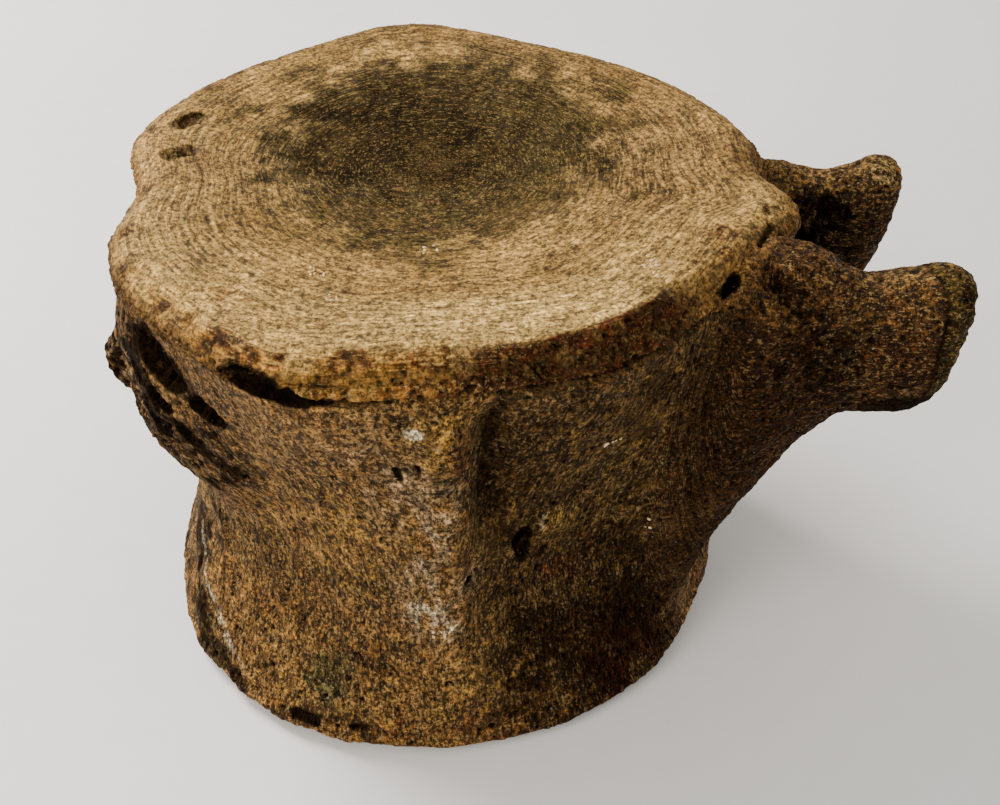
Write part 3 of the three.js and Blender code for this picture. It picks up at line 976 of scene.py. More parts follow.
        coat.lay(Ground.SLATE, 0.5 * rise(blots, 0.3, 0.8) * rise(fine - 0.3 * mid, 0.45, 0.8))
        vein = np.abs(turned(a, -141 - 0.86 * (z - 23) + 2 * mid))
        coat.lay(Ground.CHALK, 0.75 * rise(-vein, -1.7, -0.7) * place.between(14, 38, 4) * rise(fine, -0.6, 0.1))
        blots = spot(p, (-46, -94, 9), (8, 6, 3.4)) + spot(p, (-28, -99, 11), (7, 6, 2.8))
        blots = blots + spot(p, (20, -96, 14), (9, 8, 3))
        coat.lay(Ground.DEEP, 0.85 * rise(blots + 0.2 * mid + 0.2 * fine, 0.4, 0.6))
        coat.lay(Ground.OCHRE, 0.9 * rise(spot(p, (32.5, -70, 76), (6, 6, 8)) + 0.15 * fine, 0.25, 0.7))
        coat.lay(Ground.SLATE, 0.5 * place.within(120, 175) * rise(wide, 0.0, 0.8))
        coat.lay(Ground.DEEP, 0.62 * hidden * rise(broad + 0.3 * mid, 0.0, 0.6))
        coat.lay(Ground.LILAC, 0.5 * hidden * rise(-broad, 0.05, 0.6) * strands)
        coat.lay(Ground.RUST, 0.6 * hidden * rise(wide, 0.25, 0.8) * place.between(0, 40, 14))
        return coat

    def stumps(self, place: Place, coat: Coat) -> None:
        """Lays the stumps' colours over the sides', with painted light on the stumps' upward faces and painted shade
        on their other faces, undersides and hollow.
        """
        p = place.points
        mid, fine = self.noise.layers(p, 7, 3, 0.6), self.noise.layers(p, 2.4, 3, 0.6)
        near, far = np.sqrt(place.near_stump), np.sqrt(place.far_stump)
        coat.lay(Ground.STUMP, 0.9 * near)
        # Painted light and shade: the near stump is laid lighter where it faces up and darker where it does not.
        up = rise(place.normal[:, 2], 0.0, 0.8)
        coat.lay(Ground.DEEP, 0.45 * near * (1 - up))
        coat.lay(Ground.AMBER, near * up * (0.35 + 0.6 * mid))
        field = spot(p, (112, -60, 126), (17, 12, 15))
        coat.lay(Ground.BLACK, 0.8 * rise(field + 0.5 * fine + 0.2 * mid, 0.45, 0.7))
        coat.lay(Ground.SLATE, 0.6 * field * rise(-fine, 0.35, 0.6))
        coat.lay(Ground.FLESH, 0.7 * spot(p, (128, -44, 146), (16, 14, 8)) * (0.8 + mid))
        coat.lay(Ground.RUST, 0.95 * spot(p, (129, -54, 128), (11, 10, 15)) * (0.8 + 0.6 * mid))
        coat.lay(Ground.AMBER, 0.8 * spot(p, (131, -50, 137), (9, 8, 7)) * (0.7 + fine))
        coat.lay(Ground.DEEP, near * rise(mid + 0.4 * fine, 0.25, 1.0) * 0.5)
        end = near * rise(place.x + 0.35 * (place.y + 45), 135.0, 136.5)
        coat.lay(Ground.BLACK, 0.85 * end)
        end = near * rise(place.x + 0.35 * (place.y + 45), 136.6, 138.2)
        coat.lay(Ground.MOSS, 0.9 * end)
        coat.lay(Ground.OCHRE, 0.4 * end * rise(mid + 0.5 * fine, 0.1, 0.8))
        coat.lay(Ground.DEEP, 0.8 * end * rise(-mid - 0.5 * fine, -0.1, 0.5))
        coat.lay(Ground.BLACK, 0.9 * rise(spot(p, (134, -50, 102), (15, 18, 9)) + 0.2 * mid + 0.2 * fine, 0.4, 0.6))
        # Painted shade on the near stump's underside.
        coat.lay(Ground.BLACK, near * rise(-place.normal[:, 2], 0.45, 0.9) * 0.65)
        # Far stump: painted light on its upward faces and painted shade on the side facing -Y and its lower faces,
        # over its own amber, ochre and deep tones.
        coat.lay(Ground.AMBER, far * (0.32 + 0.4 * up + 0.5 * mid))
        coat.lay(Ground.STUMP, far * rise(-place.normal[:, 1], 0.2, 0.8) * 0.7)
        coat.lay(Ground.OCHRE, 0.5 * far * up * (0.6 + mid))
        coat.lay(Ground.DEEP, far * (0.55 * (1 - up) + 0.4 * rise(fine + mid, 0.3, 0.9)))
        # Painted shade in the far stump's hollow.
        coat.lay(Ground.BLACK, 0.9 * spot(p, (112, 8, 128), (14, 8, 12)))
        facet = rise(spot(p, (137.5, 15, 144.5), (6, 7, 5)) + 0.08 * fine, 0.36, 0.5)
        coat.lay(Ground.BRIGHT, 0.8 * facet)
        coat.lay(Ground.OCHRE, 0.4 * facet * rise(mid, -0.2, 0.6))
        spread = np.maximum(spot(p, (-80, -63, 124), (19, 22, 25)), spot(p, (-70, -67, 106), (15, 20, 14)))
        mass = np.clip(np.maximum(np.sqrt(place.near_mass), 1.35 * spread), 0, 1) * rise(-place.z, -147, -143)
        coat.lay(Ground.DEEP, mass * (0.85 + 0.5 * mid))
        coat.lay(Ground.BLACK, 0.8 * mass * rise(mid + 0.5 * fine, -0.1, 0.35))
        coat.lay(Ground.AMBER, 0.5 * mass * rise(-fine - 0.3 * mid, 0.42, 0.8))
        coat.lay(Ground.MAUVE, 0.5 * spot(p, (-64, -72, 134), (10, 12, 12)) * rise(fine, -0.3, 0.6))
        coat.lay(Ground.DEEP, 0.8 * spot(p, (-102, 20, 66), (30, 30, 30)) * rise(mid + 0.5 * fine, -0.6, 0.5))
        coat.lay(Ground.BLACK, place.far_knob * (0.7 + 0.3 * mid))

    def all(
        self, place: Place, relief: Relief, broken: Array, pit: Array, cavity: Array, hole: Array
    ) -> Array:
        """The colour of every point.

        Args:
            place: Where the points lie.
            relief: The relief, for its growth lines.
            broken: Share of open inner cells.
            pit: How deep in a pore each point is.
            cavity: How sunk each point is beside what lies round it, about -1 to 1.
            hole: How plainly each point lies in a hole.

        Returns:
            Three light amounts for each point.
        """
        coat = self.side(place)
        self.stumps(place, coat)
        # Painted shade: the right front side, its low part and the stumps are laid darker.
        shaded = 0.24 * place.within(-80, -30) * place.side + 0.4 * place.near_stump + 0.28 * place.far_stump
        shaded = shaded + 0.3 * spot(place.points, (45, -80, 26), (34, 26, 24)) * place.side
        coat.dim(np.clip(shaded, 0, 0.5))
        coat.cover(self.wall(place).colour, place.plate)
        coat.cover(self.top(place, relief).colour, place.top)
        fine = self.noise.layers(place.points, 1.9, 2)
        coat.lay(Ground.DEEP, place.bevel)
        coat.lay(Ground.WINE, place.bevel * rise(fine, -0.3, 0.5) * 0.8)
        coat.lay(Ground.OCHRE, 0.3 * place.bevel * rise(-fine, 0.25, 0.7))
        coat.lay(Ground.MID_TAN, 0.55 * place.base)
        coat.lay(Ground.BLACK, 0.55 * broken)
        coat.lay(Ground.AMBER, 0.6 * broken * (1 - pit) * rise(fine, 0.0, 0.6))
        coat.lay(Ground.CHALK, 0.35 * broken * (1 - pit) * rise(fine, 0.4, 0.9))
        # Painted shade: pores, open cells, holes and hollows are laid darker, and bulges lighter with painted light.
        coat.lay(Ground.BLACK, 0.8 * pit)
        coat.lay(Ground.BLACK, 0.94 * hole)
        coat.lay(Ground.BLACK, 0.8 * rise(cavity, 0.3, 1.1) * (1 - 0.5 * place.top))
        light = (1 - 0.45 * np.clip(cavity, -1, 0.7)) * (1 - 0.6 * hole)
        return np.clip(coat.colour * light[:, None], 0, 1).astype(np.float32)


# ---------------------------------------------------------------- finishes


class Web:
    """A material's nodes, with short ways to add and join them."""

    def __init__(self, name: str) -> None:
        """Makes an empty node material."""
        self.material = bpy.data.materials.new(name)
        self.material.use_nodes = True
        self.tree = self.material.node_tree
        self.tree.nodes.clear()

    def put(self, kind: str, **values: object) -> bpy.types.Node:
        """Adds a node and sets its fields."""
        node = self.tree.nodes.new(kind)
        for name, value in values.items():
            setattr(node, name, value)
        return node

    def feed(self, socket: bpy.types.NodeSocket, value: object) -> None:
        """Joins a socket to another, or sets it to a value."""
        if isinstance(value, bpy.types.NodeSocket):
            self.tree.links.new(value, socket)
        else:
            socket.default_value = value

    def maths(self, operation: str, a: object, b: object = 0.0, clamp: bool = False) -> bpy.types.NodeSocket:
        """One sum on one or two numbers."""
        node = self.put("ShaderNodeMath", operation=operation, use_clamp=clamp)
        self.feed(node.inputs[0], a)
        self.feed(node.inputs[1], b)
        return node.outputs[0]

    times = functools.partialmethod(maths, "MULTIPLY")
    plus = functools.partialmethod(maths, "ADD")
    minus = functools.partialmethod(maths, "SUBTRACT")

    def step(
        self, value: object, low: object, high: object, start: object = 0.0, end: object = 1.0
    ) -> bpy.types.NodeSocket:
        """A smooth step of a number from low to high, giving start to end."""
        node = self.put("ShaderNodeMapRange", interpolation_type="SMOOTHSTEP")
        for socket, given in zip(node.inputs[:5], (value, low, high, start, end)):
            self.feed(socket, given)
        return node.outputs[0]

    def mix(self, share: object, a: object, b: object, way: str = "MIX") -> bpy.types.NodeSocket:
        """Two colours mixed."""
        node = self.put("ShaderNodeMix", data_type="RGBA", blend_type=way)
        self.feed(node.inputs[0], share)
        self.feed(node.inputs[6], a)
        self.feed(node.inputs[7], b)
        return node.outputs[2]

    def scaled(self, value: object, factor: object) -> bpy.types.NodeSocket:
        """A colour or place times a number."""
        node = self.put("ShaderNodeVectorMath", operation="SCALE")
        self.feed(node.inputs[0], value)
        self.feed(node.inputs[3], factor)
        return node.outputs[0]

    def parts(self, colour: object) -> bpy.types.NodeOutputs:
        """A colour's three amounts."""
        node = self.put("ShaderNodeSeparateColor")
        self.feed(node.inputs[0], colour)
        return node.outputs

    def noise(self, places: object, scale: float, detail: float, rough: float = 0.6) -> bpy.types.NodeSocket:
        """Soft lumps from 0 to 1, scale to the metre."""
        node = self.put("ShaderNodeTexNoise")
        self.feed(node.inputs["Vector"], places)
        node.inputs["Scale"].default_value = scale
        node.inputs["Detail"].default_value = detail
        node.inputs["Roughness"].default_value = rough
        return node.outputs[0]

    def here(self) -> bpy.types.NodeSocket:
        """Places on the object, in metres."""
        return self.put("ShaderNodeTexCoord").outputs["Object"]

    def bump(self, height: object, distance: float, strength: float = 1.0) -> bpy.types.NodeSocket:
        """Shading directions bent by a height."""
        node = self.put("ShaderNodeBump")
        node.inputs["Strength"].default_value = strength
        node.inputs["Distance"].default_value = distance
        self.feed(node.inputs["Height"], height)
        return node.outputs[0]

    def ended(self, **values: object) -> bpy.types.Material:
        """Ends the web in a plain shader and gives back the material.

        Args:
            values: The shader's inputs by name, with _ for each space.

        Returns:
            The finished material.
        """
        shader = self.put("ShaderNodeBsdfPrincipled")
        for name, value in values.items():
            self.feed(shader.inputs[name.replace("_", " ")], value)
        self.feed(self.put("ShaderNodeOutputMaterial").inputs[0], shader.outputs[0])
        return self.material

    def cells(self, places: object, scale: float) -> tuple[bpy.types.NodeSocket, bpy.types.NodeSocket]:
        """Distance to the nearest scattered cell, and that cell's own number."""
        node = self.put("ShaderNodeTexVoronoi")
        self.feed(node.inputs["Vector"], places)
        node.inputs["Scale"].default_value = scale
        return node.outputs["Distance"], self.parts(node.outputs["Color"])[0]


@dataclass(frozen=True)
class BoneFinish:
    """Dry, stained, weathered bone. Sizes are in metres."""

    name: str
    mottle: float = 0.0031
    speck: float = 0.00125
    fibre: float = 0.00115
    pore: float = 0.0021
    contrast: float = 1.05
    streak: float = 1.0
    # How much painted shade goes into the pores.
    pore_darkness: float = 0.85
    bump: float = 0.0009
    gloss: float = 0.11
    depth: float = 0.5
    chips: float = 0.48
    chip_colour: Ground = Ground.FLAKE
    bare: tuple[float, float] = (0.004, 0.06)

    def build(self) -> bpy.types.Material:
        """Makes the material: the staining with its painted light and shade, mottling, fibres, pores darkened with
        painted shade and pale flecks over them, and a matching bump.
        """
        web = Web(self.name)
        here = web.here()
        # This colour attribute holds the staining together with painted shade in hollows, holes, pores and creases,
        # and painted light on upward faces and bulges.
        stain_and_shade = web.put("ShaderNodeAttribute", attribute_name="StainAndShade").outputs["Color"]
        grain = web.put("ShaderNodeAttribute", attribute_name="Grain").outputs["Vector"]
        porous, fibrous, flecked = web.parts(web.put("ShaderNodeAttribute", attribute_name="Wear").outputs["Color"])
        red = web.parts(stain_and_shade)[0]
        lit = web.step(red, *self.bare)

        mottle = web.noise(here, 1 / self.mottle, 5, 0.72)
        speckle = web.noise(here, 1 / self.speck, 3, 0.72)
        blot = web.noise(here, 0.12 / self.mottle, 3, 0.6)
        strand = web.noise(grain, 1 / self.fibre, 3, 0.72)
        hair = web.noise(grain, 1.9 / self.fibre, 2, 0.6)
        bend = web.put("ShaderNodeTexNoise")
        web.feed(bend.inputs["Vector"], here)
        bend.inputs["Scale"].default_value = 1.3 / self.pore
        moved = web.put("ShaderNodeVectorMath", operation="ADD")
        web.feed(moved.inputs[0], here)
        web.feed(moved.inputs[1], web.scaled(bend.outputs["Color"], 1.6 * self.pore))
        gap, own = web.cells(moved.outputs[0], 1 / self.pore)
        size = web.times(web.times(own, porous), 0.5)
        pit = web.step(gap, web.plus(size, 0.05), web.minus(size, 0.1))
        pit = web.times(pit, web.step(size, 0.1, 0.22))
        dot, number = web.cells(here, 1 / (0.46 * self.pore))
        fleck = web.times(web.step(number, 0.965, 0.985), web.step(dot, 0.4, 0.2))
        fleck = web.times(fleck, flecked)

        light = web.step(mottle, 0.36, 0.64, 1 - 0.42 * self.contrast, 1 + 0.42 * self.contrast)
        grains = web.step(speckle, 0.4, 0.6, 1 - 0.75 * self.contrast, 1 + 0.85 * self.contrast)
        light = web.times(light, grains)
        light = web.times(light, web.step(blot, 0.3, 0.7, 0.78 * self.depth, 1.22 * self.depth))
        line = web.plus(web.times(strand, 0.62), web.times(hair, 0.38))
        lined = web.step(line, 0.41, 0.59, 1 - 0.74 * self.streak, 1 + 0.86 * self.streak)
        lined = web.plus(web.times(web.minus(lined, 1.0), fibrous), 1.0)
        light = web.times(light, lined)
        crumb = web.noise(here, 0.95 / self.pore, 4, 0.75)
        crumb = web.times(web.step(crumb, 0.54, 0.59), web.times(porous, 1.5, True))
        dash = web.times(web.step(hair, 0.55, 0.6), web.plus(web.times(fibrous, 0.65), 0.2))
        colour = web.mix(web.times(dash, self.contrast), web.scaled(stain_and_shade, light), (0.016, 0.007, 0.0024, 1))
        colour = web.mix(web.step(mottle, 0.5, 0.36, 0.0, 0.3), colour, (0.02, 0.01, 0.004, 1))
        flakes = web.noise(here, 1.5 / self.speck, 2, 0.7)
        chip = web.plus(web.times(flakes, 0.45), web.times(hair, 0.55))
        chip = web.times(web.step(chip, 0.54, 0.59, 0.0, self.chips), lit)
        colour = web.mix(chip, colour, web.scaled(self.chip_colour.linear, web.step(red, 0.004, 0.16, 0.48, 1.0)))
        colour = web.mix(web.times(crumb, 0.78), colour, (0.012, 0.0065, 0.0035, 1))
        warm = web.times(web.step(blot, 0.52, 0.75, 0.0, 0.14), lit)
        colour = web.mix(warm, colour, (0.16, 0.09, 0.03, 1))
        # Painted shade in the pores: they are laid near black.
        colour = web.mix(web.times(pit, self.pore_darkness), colour, (0.006, 0.004, 0.003, 1))
        colour = web.mix(web.times(fleck, 0.5), colour, (0.3, 0.23, 0.15, 1))

        height = web.plus(web.times(mottle, 0.55), web.times(speckle, 0.3))
        height = web.plus(height, web.times(line, fibrous))
        height = web.minus(height, web.times(pit, 0.9))
        height = web.minus(height, web.times(crumb, 0.5))
        return web.ended(
            Base_Color=colour,
            Roughness=web.step(mottle, 0.25, 0.75, 0.62, 0.9),
            Specular_IOR_Level=web.step(red, 0.005, 0.1, 0.2 * self.gloss, self.gloss),
            Specular_Tint=(1.0, 0.86, 0.7, 1),
            Normal=web.bump(height, self.bump, 0.85),
        )


@dataclass(frozen=True)
class CrumbFinish:
    """Loose crumbs: pale grit, or dark splinters of inner bone."""

    name: str
    pale: Ground
    dark: Ground
    roughness: float = 0.85

    def build(self) -> bpy.types.Material:
        """Makes the material: two tones mixed by fine noise, with a little bump."""
        web = Web(self.name)
        here = web.here()
        wide, fine = web.noise(here, 260, 3), web.noise(here, 1700, 3)
        tone = web.plus(web.times(wide, 0.6), web.times(fine, 0.4))
        colour = web.mix(web.step(tone, 0.38, 0.62), (*self.dark.linear, 1), (*self.pale.linear, 1))
        return web.ended(
            Base_Color=colour, Roughness=self.roughness, Specular_IOR_Level=0.3, Normal=web.bump(fine, 0.0002)
        )


@dataclass(frozen=True)
class FloorFinish:
    """A plain pale board with a faint unevenness."""

    name: str = "pale_board"

    def build(self) -> bpy.types.Material:
        """Makes the material."""
        web = Web(self.name)
        here = web.here()
        wide, fine = web.noise(here, 2.2, 2), web.noise(here, 90, 4)
        tone = web.plus(web.times(wide, 0.8), web.times(fine, 0.2))
        colour = web.mix(web.step(tone, 0.3, 0.7), (0.66, 0.635, 0.6, 1), (0.73, 0.71, 0.68, 1))
        return web.ended(Base_Color=colour, Roughness=0.6)


# ---------------------------------------------------------------- meshes and pieces


def mesh_object(
    name: str, points: Array, squares: Array, triangles: Array = NO_TRIANGLES, normals: Array | None = None
) -> bpy.types.Object:
    """Makes a mesh object of squares and triangles.

    Args:
        name: The object's name.
        points: Places in millimetres.
        squares: Four point numbers for each square.
        triangles: Three point numbers for each triangle.
        normals: Shading direction of each point, or None for plain smooth shading.

    Returns:
        The object, linked to the scene.
    """
    mesh = bpy.data.meshes.new(name)
    corners = np.concatenate([squares.ravel(), triangles.ravel()]).astype(np.int32)
    sizes = np.concatenate([np.full(len(squares), 4), np.full(len(triangles), 3)]).astype(np.int32)
    mesh.vertices.add(len(points))
    mesh.vertices.foreach_set("co", (points * MM).astype(np.float32).ravel())
    mesh.loops.add(len(corners))
    mesh.loops.foreach_set("vertex_index", corners)
    mesh.polygons.add(len(sizes))
    mesh.polygons.foreach_set("loop_start", np.concatenate([[0], np.cumsum(sizes)[:-1]]).astype(np.int32))
    mesh.polygons.foreach_set("use_smooth", np.ones(len(sizes), bool))
    mesh.update(calc_edges=True)
    mesh.validate()
    if normals is not None:
        mesh.normals_split_custom_set_from_vertices(normals.astype(np.float32))
    thing = bpy.data.objects.new(name, mesh)
    bpy.context.scene.collection.objects.link(thing)
    return thing


def lay(thing: bpy.types.Object, name: str, kind: str, values: Array) -> None:
    """Writes a value for each point of a mesh."""
    data = thing.data.attributes.new(name, kind, "POINT").data
    key = {"FLOAT_COLOR": "color", "FLOAT_VECTOR": "vector", "FLOAT": "value"}[kind]
    data.foreach_set(key, np.ascontiguousarray(values, np.float32).ravel())


class Slot(Enum):
    """The bone's finishes."""

    SIDE = "bone_side"
    FACE = "bone_face"
    STUMP = "bone_stump"
    BROKEN = "bone_broken"


@dataclass(frozen=True)
class PiecePlan:
    """One piece that the surface is parted into."""

    name: str
    nodes: tuple[str, ...]
    slot: Slot


@dataclass
class BoneSurface:
    """The whole worn surface, and the pieces it is parted into."""

    shape: BoneShape = field(default_factory=BoneShape)
    mesher: Mesher = field(default_factory=Mesher)
    relief: Relief = field(default_factory=Relief)
    stains_and_shade: StainsAndShade = field(default_factory=StainsAndShade)
    margin: float = 6.0
    overshoot: float = 0.8
    hole_calm: float = 0.6
    crown_reach: float = 8.0
    core_height: float = 75.0
    crown_core_height: float = 105.0
    stump_cut: float = 106.0
    sector_edges: tuple[float, ...] = (-160.0, -98.0, -42.0, 40.0, 98.0, 150.0)

    def plans(self) -> list[PiecePlan]:
        """The pieces, in the order of their numbers."""
        body = ("centrum", "caudal_epiphysis")
        rows = (
            ("centrum_left_ventral", (*body, "left_haemal_process"), Slot.SIDE),
            ("centrum_left", body, Slot.SIDE),
            ("centrum_dorsal", body, Slot.SIDE),
            ("centrum_right", body, Slot.SIDE),
            ("centrum_right_ventral", body, Slot.SIDE),
            ("centrum_ventral", (*body, "right_haemal_process"), Slot.SIDE),
            ("cranial_plate", ("cranial_epiphysis",), Slot.FACE),
            ("left_arch_stump", ("left_pedicle",), Slot.STUMP),
            ("right_arch_stump", ("right_pedicle",), Slot.STUMP),
        )
        return [PiecePlan(*row) for row in rows]

    def build(self, low: Array, high: Array) -> None:
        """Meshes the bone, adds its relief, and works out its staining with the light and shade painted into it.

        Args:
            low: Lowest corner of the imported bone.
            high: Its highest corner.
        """
        surface = Surface(*self.mesher.build(self.shape, low - self.margin, high + self.margin)).largest()
        points, squares = surface.points, surface.squares
        place = Place(points, surface.normals(), self.shape.spool)
        height, broken, pit = self.relief.height(place)
        hole = self.shape.hole(points)
        moved = points + place.normal * (height * (1 - self.hole_calm * hole))[:, None]
        moved[:, 2] = np.maximum(moved[:, 2], 0.0)
        moved = np.clip(moved, low - self.overshoot, high + self.overshoot)
        self.surface = Surface(moved.astype(np.float32), squares)
        self.normal = self.surface.normals()
        # How sunk each point lies beside its neighbours; the colours turn this into painted shade in hollows and
        # painted light on bulges.
        near = ((self.surface.blurred(moved, 5) - moved) * self.normal).sum(1)
        far = ((self.surface.blurred(moved, 26) - moved) * self.normal).sum(1)
        cavity = np.clip(1.9 * near + 0.55 * far, -1.2, 1.6).astype(np.float32)
        self.stain_and_shade = self.stains_and_shade.all(place, self.relief, broken, pit, cavity, hole)
        self.grain = place.grain()
        self.place, self.broken = place, broken
        self.wear = self.wear_of(place, broken)
        log.info("surface: %d points, %d squares", len(moved), len(squares))

    def wear_of(self, place: Place, broken: Array) -> Array:
        """How porous, fibrous and flecked each point is."""
        wide = self.stains_and_shade.noise.layers(place.points, 24, 2)
        stump = np.maximum(place.near_stump, place.far_stump)
        porous = 0.42 * place.side + 0.4 * stump + 0.5 * broken + 0.35 * place.wall + 0.25 * wide * place.side
        centre = rise(1.05 - np.hypot((place.x + 6) / 50, (place.y - 24) / 54), 0, 0.4) * place.top
        porous = porous + 0.3 * centre + 0.14 * place.top
        fibrous = 0.85 * place.side * (1 - 0.45 * stump) * (1 - 0.6 * broken) + 0.62 * place.top * (1 - 0.75 * centre)
        fibrous = fibrous + 0.35 * place.wall
        flecked = 0.5 + 0.5 * wide - 0.3 * place.top
        return np.clip(np.stack([porous, fibrous, flecked, np.ones_like(porous)], axis=1), 0, 1)

    def piece_numbers(self) -> Array:
        """The number of the piece that each square belongs to."""
        middle = self.surface.points[self.surface.squares].mean(1)
        x, y, z = middle.T
        angle, out = np.degrees(np.arctan2(y, x)), np.hypot(x, y)
        number = np.digitize(angle, self.sector_edges) - 1
        number[number < 0] = VENTRAL
        spool = self.shape.spool
        number[(z > spool.crease(angle)) & (out < spool.radius(angle, z) + self.crown_reach)] = CROWN
        stump = x > self.stump_cut
        number[stump] = np.where(y[stump] < ARCH_PARTING, LEFT_ARCH, RIGHT_ARCH)
        return number

    def dress(self, finishes: dict[Slot, bpy.types.Material]) -> list[bpy.types.Object]:
        """Makes the pieces, each closed towards the inside, and gives them their finishes.

        Args:
            finishes: The materials by slot.

        Returns:
            The pieces.
        """
        numbers = self.piece_numbers()
        pieces = []
        for index, plan in enumerate(self.plans()):
            squares = self.surface.squares[numbers == index]
            used, local = np.unique(squares, return_inverse=True)
            local = local.reshape(-1, 4)
            points, caps = self.closed(self.surface.points[used], local, index)
            source = np.concatenate([used, np.repeat(used[:1], len(points) - len(used))])
            thing = mesh_object(plan.name, points, local, caps, self.normal[source])
            # The colours written here include painted shade and painted light.
            lay(thing, "StainAndShade", "FLOAT_COLOR", np.pad(self.stain_and_shade[source], ((0, 0), (0, 1)), constant_values=1))
            lay(thing, "Grain", "FLOAT_VECTOR", self.grain[source] * MM)
            lay(thing, "Wear", "FLOAT_COLOR", self.wear[source])
            thing.data.materials.append(finishes[plan.slot])
            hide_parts(*plan.nodes)
            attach(thing, "root")
            pieces.append(thing)
            log.info("%s: %d triangles", plan.name, 2 * len(local) + len(caps))
        return pieces

    def closed(self, points: Array, squares: Array, index: int) -> tuple[Array, Array]:
        """Closes a piece with triangles from its open edge to a point inside the bone.

        Args:
            points: The piece's points.
            squares: Its squares.
            index: The piece's number.

        Returns:
            Its points with the inside ones added, and the closing triangles.
        """
        sides = np.concatenate([squares[:, [i, (i + 1) % 4]] for i in range(4)])
        count = len(points)
        forward, backward = sides[:, 0] * count + sides[:, 1], sides[:, 1] * count + sides[:, 0]
        open_sides = sides[~np.isin(forward, backward)]
        axis = np.array([0, 0, self.core_height if index < CROWN else self.crown_core_height])
        centres = [axis, np.array([self.stump_cut, -44.0, 122.0]), np.array([self.stump_cut, 22.0, 120.0])]
        middle = points[open_sides].mean(1)
        cut = np.abs(middle[:, 0] - self.stump_cut) < 1.5
        which = np.where(cut, np.where(middle[:, 1] < ARCH_PARTING, 1, 2), 0)
        kinds, order = np.unique(which, return_inverse=True)
        caps = np.stack([open_sides[:, 1], open_sides[:, 0], count + order], axis=1)
        return np.concatenate([points, np.array(centres, np.float32)[kinds]]), caps


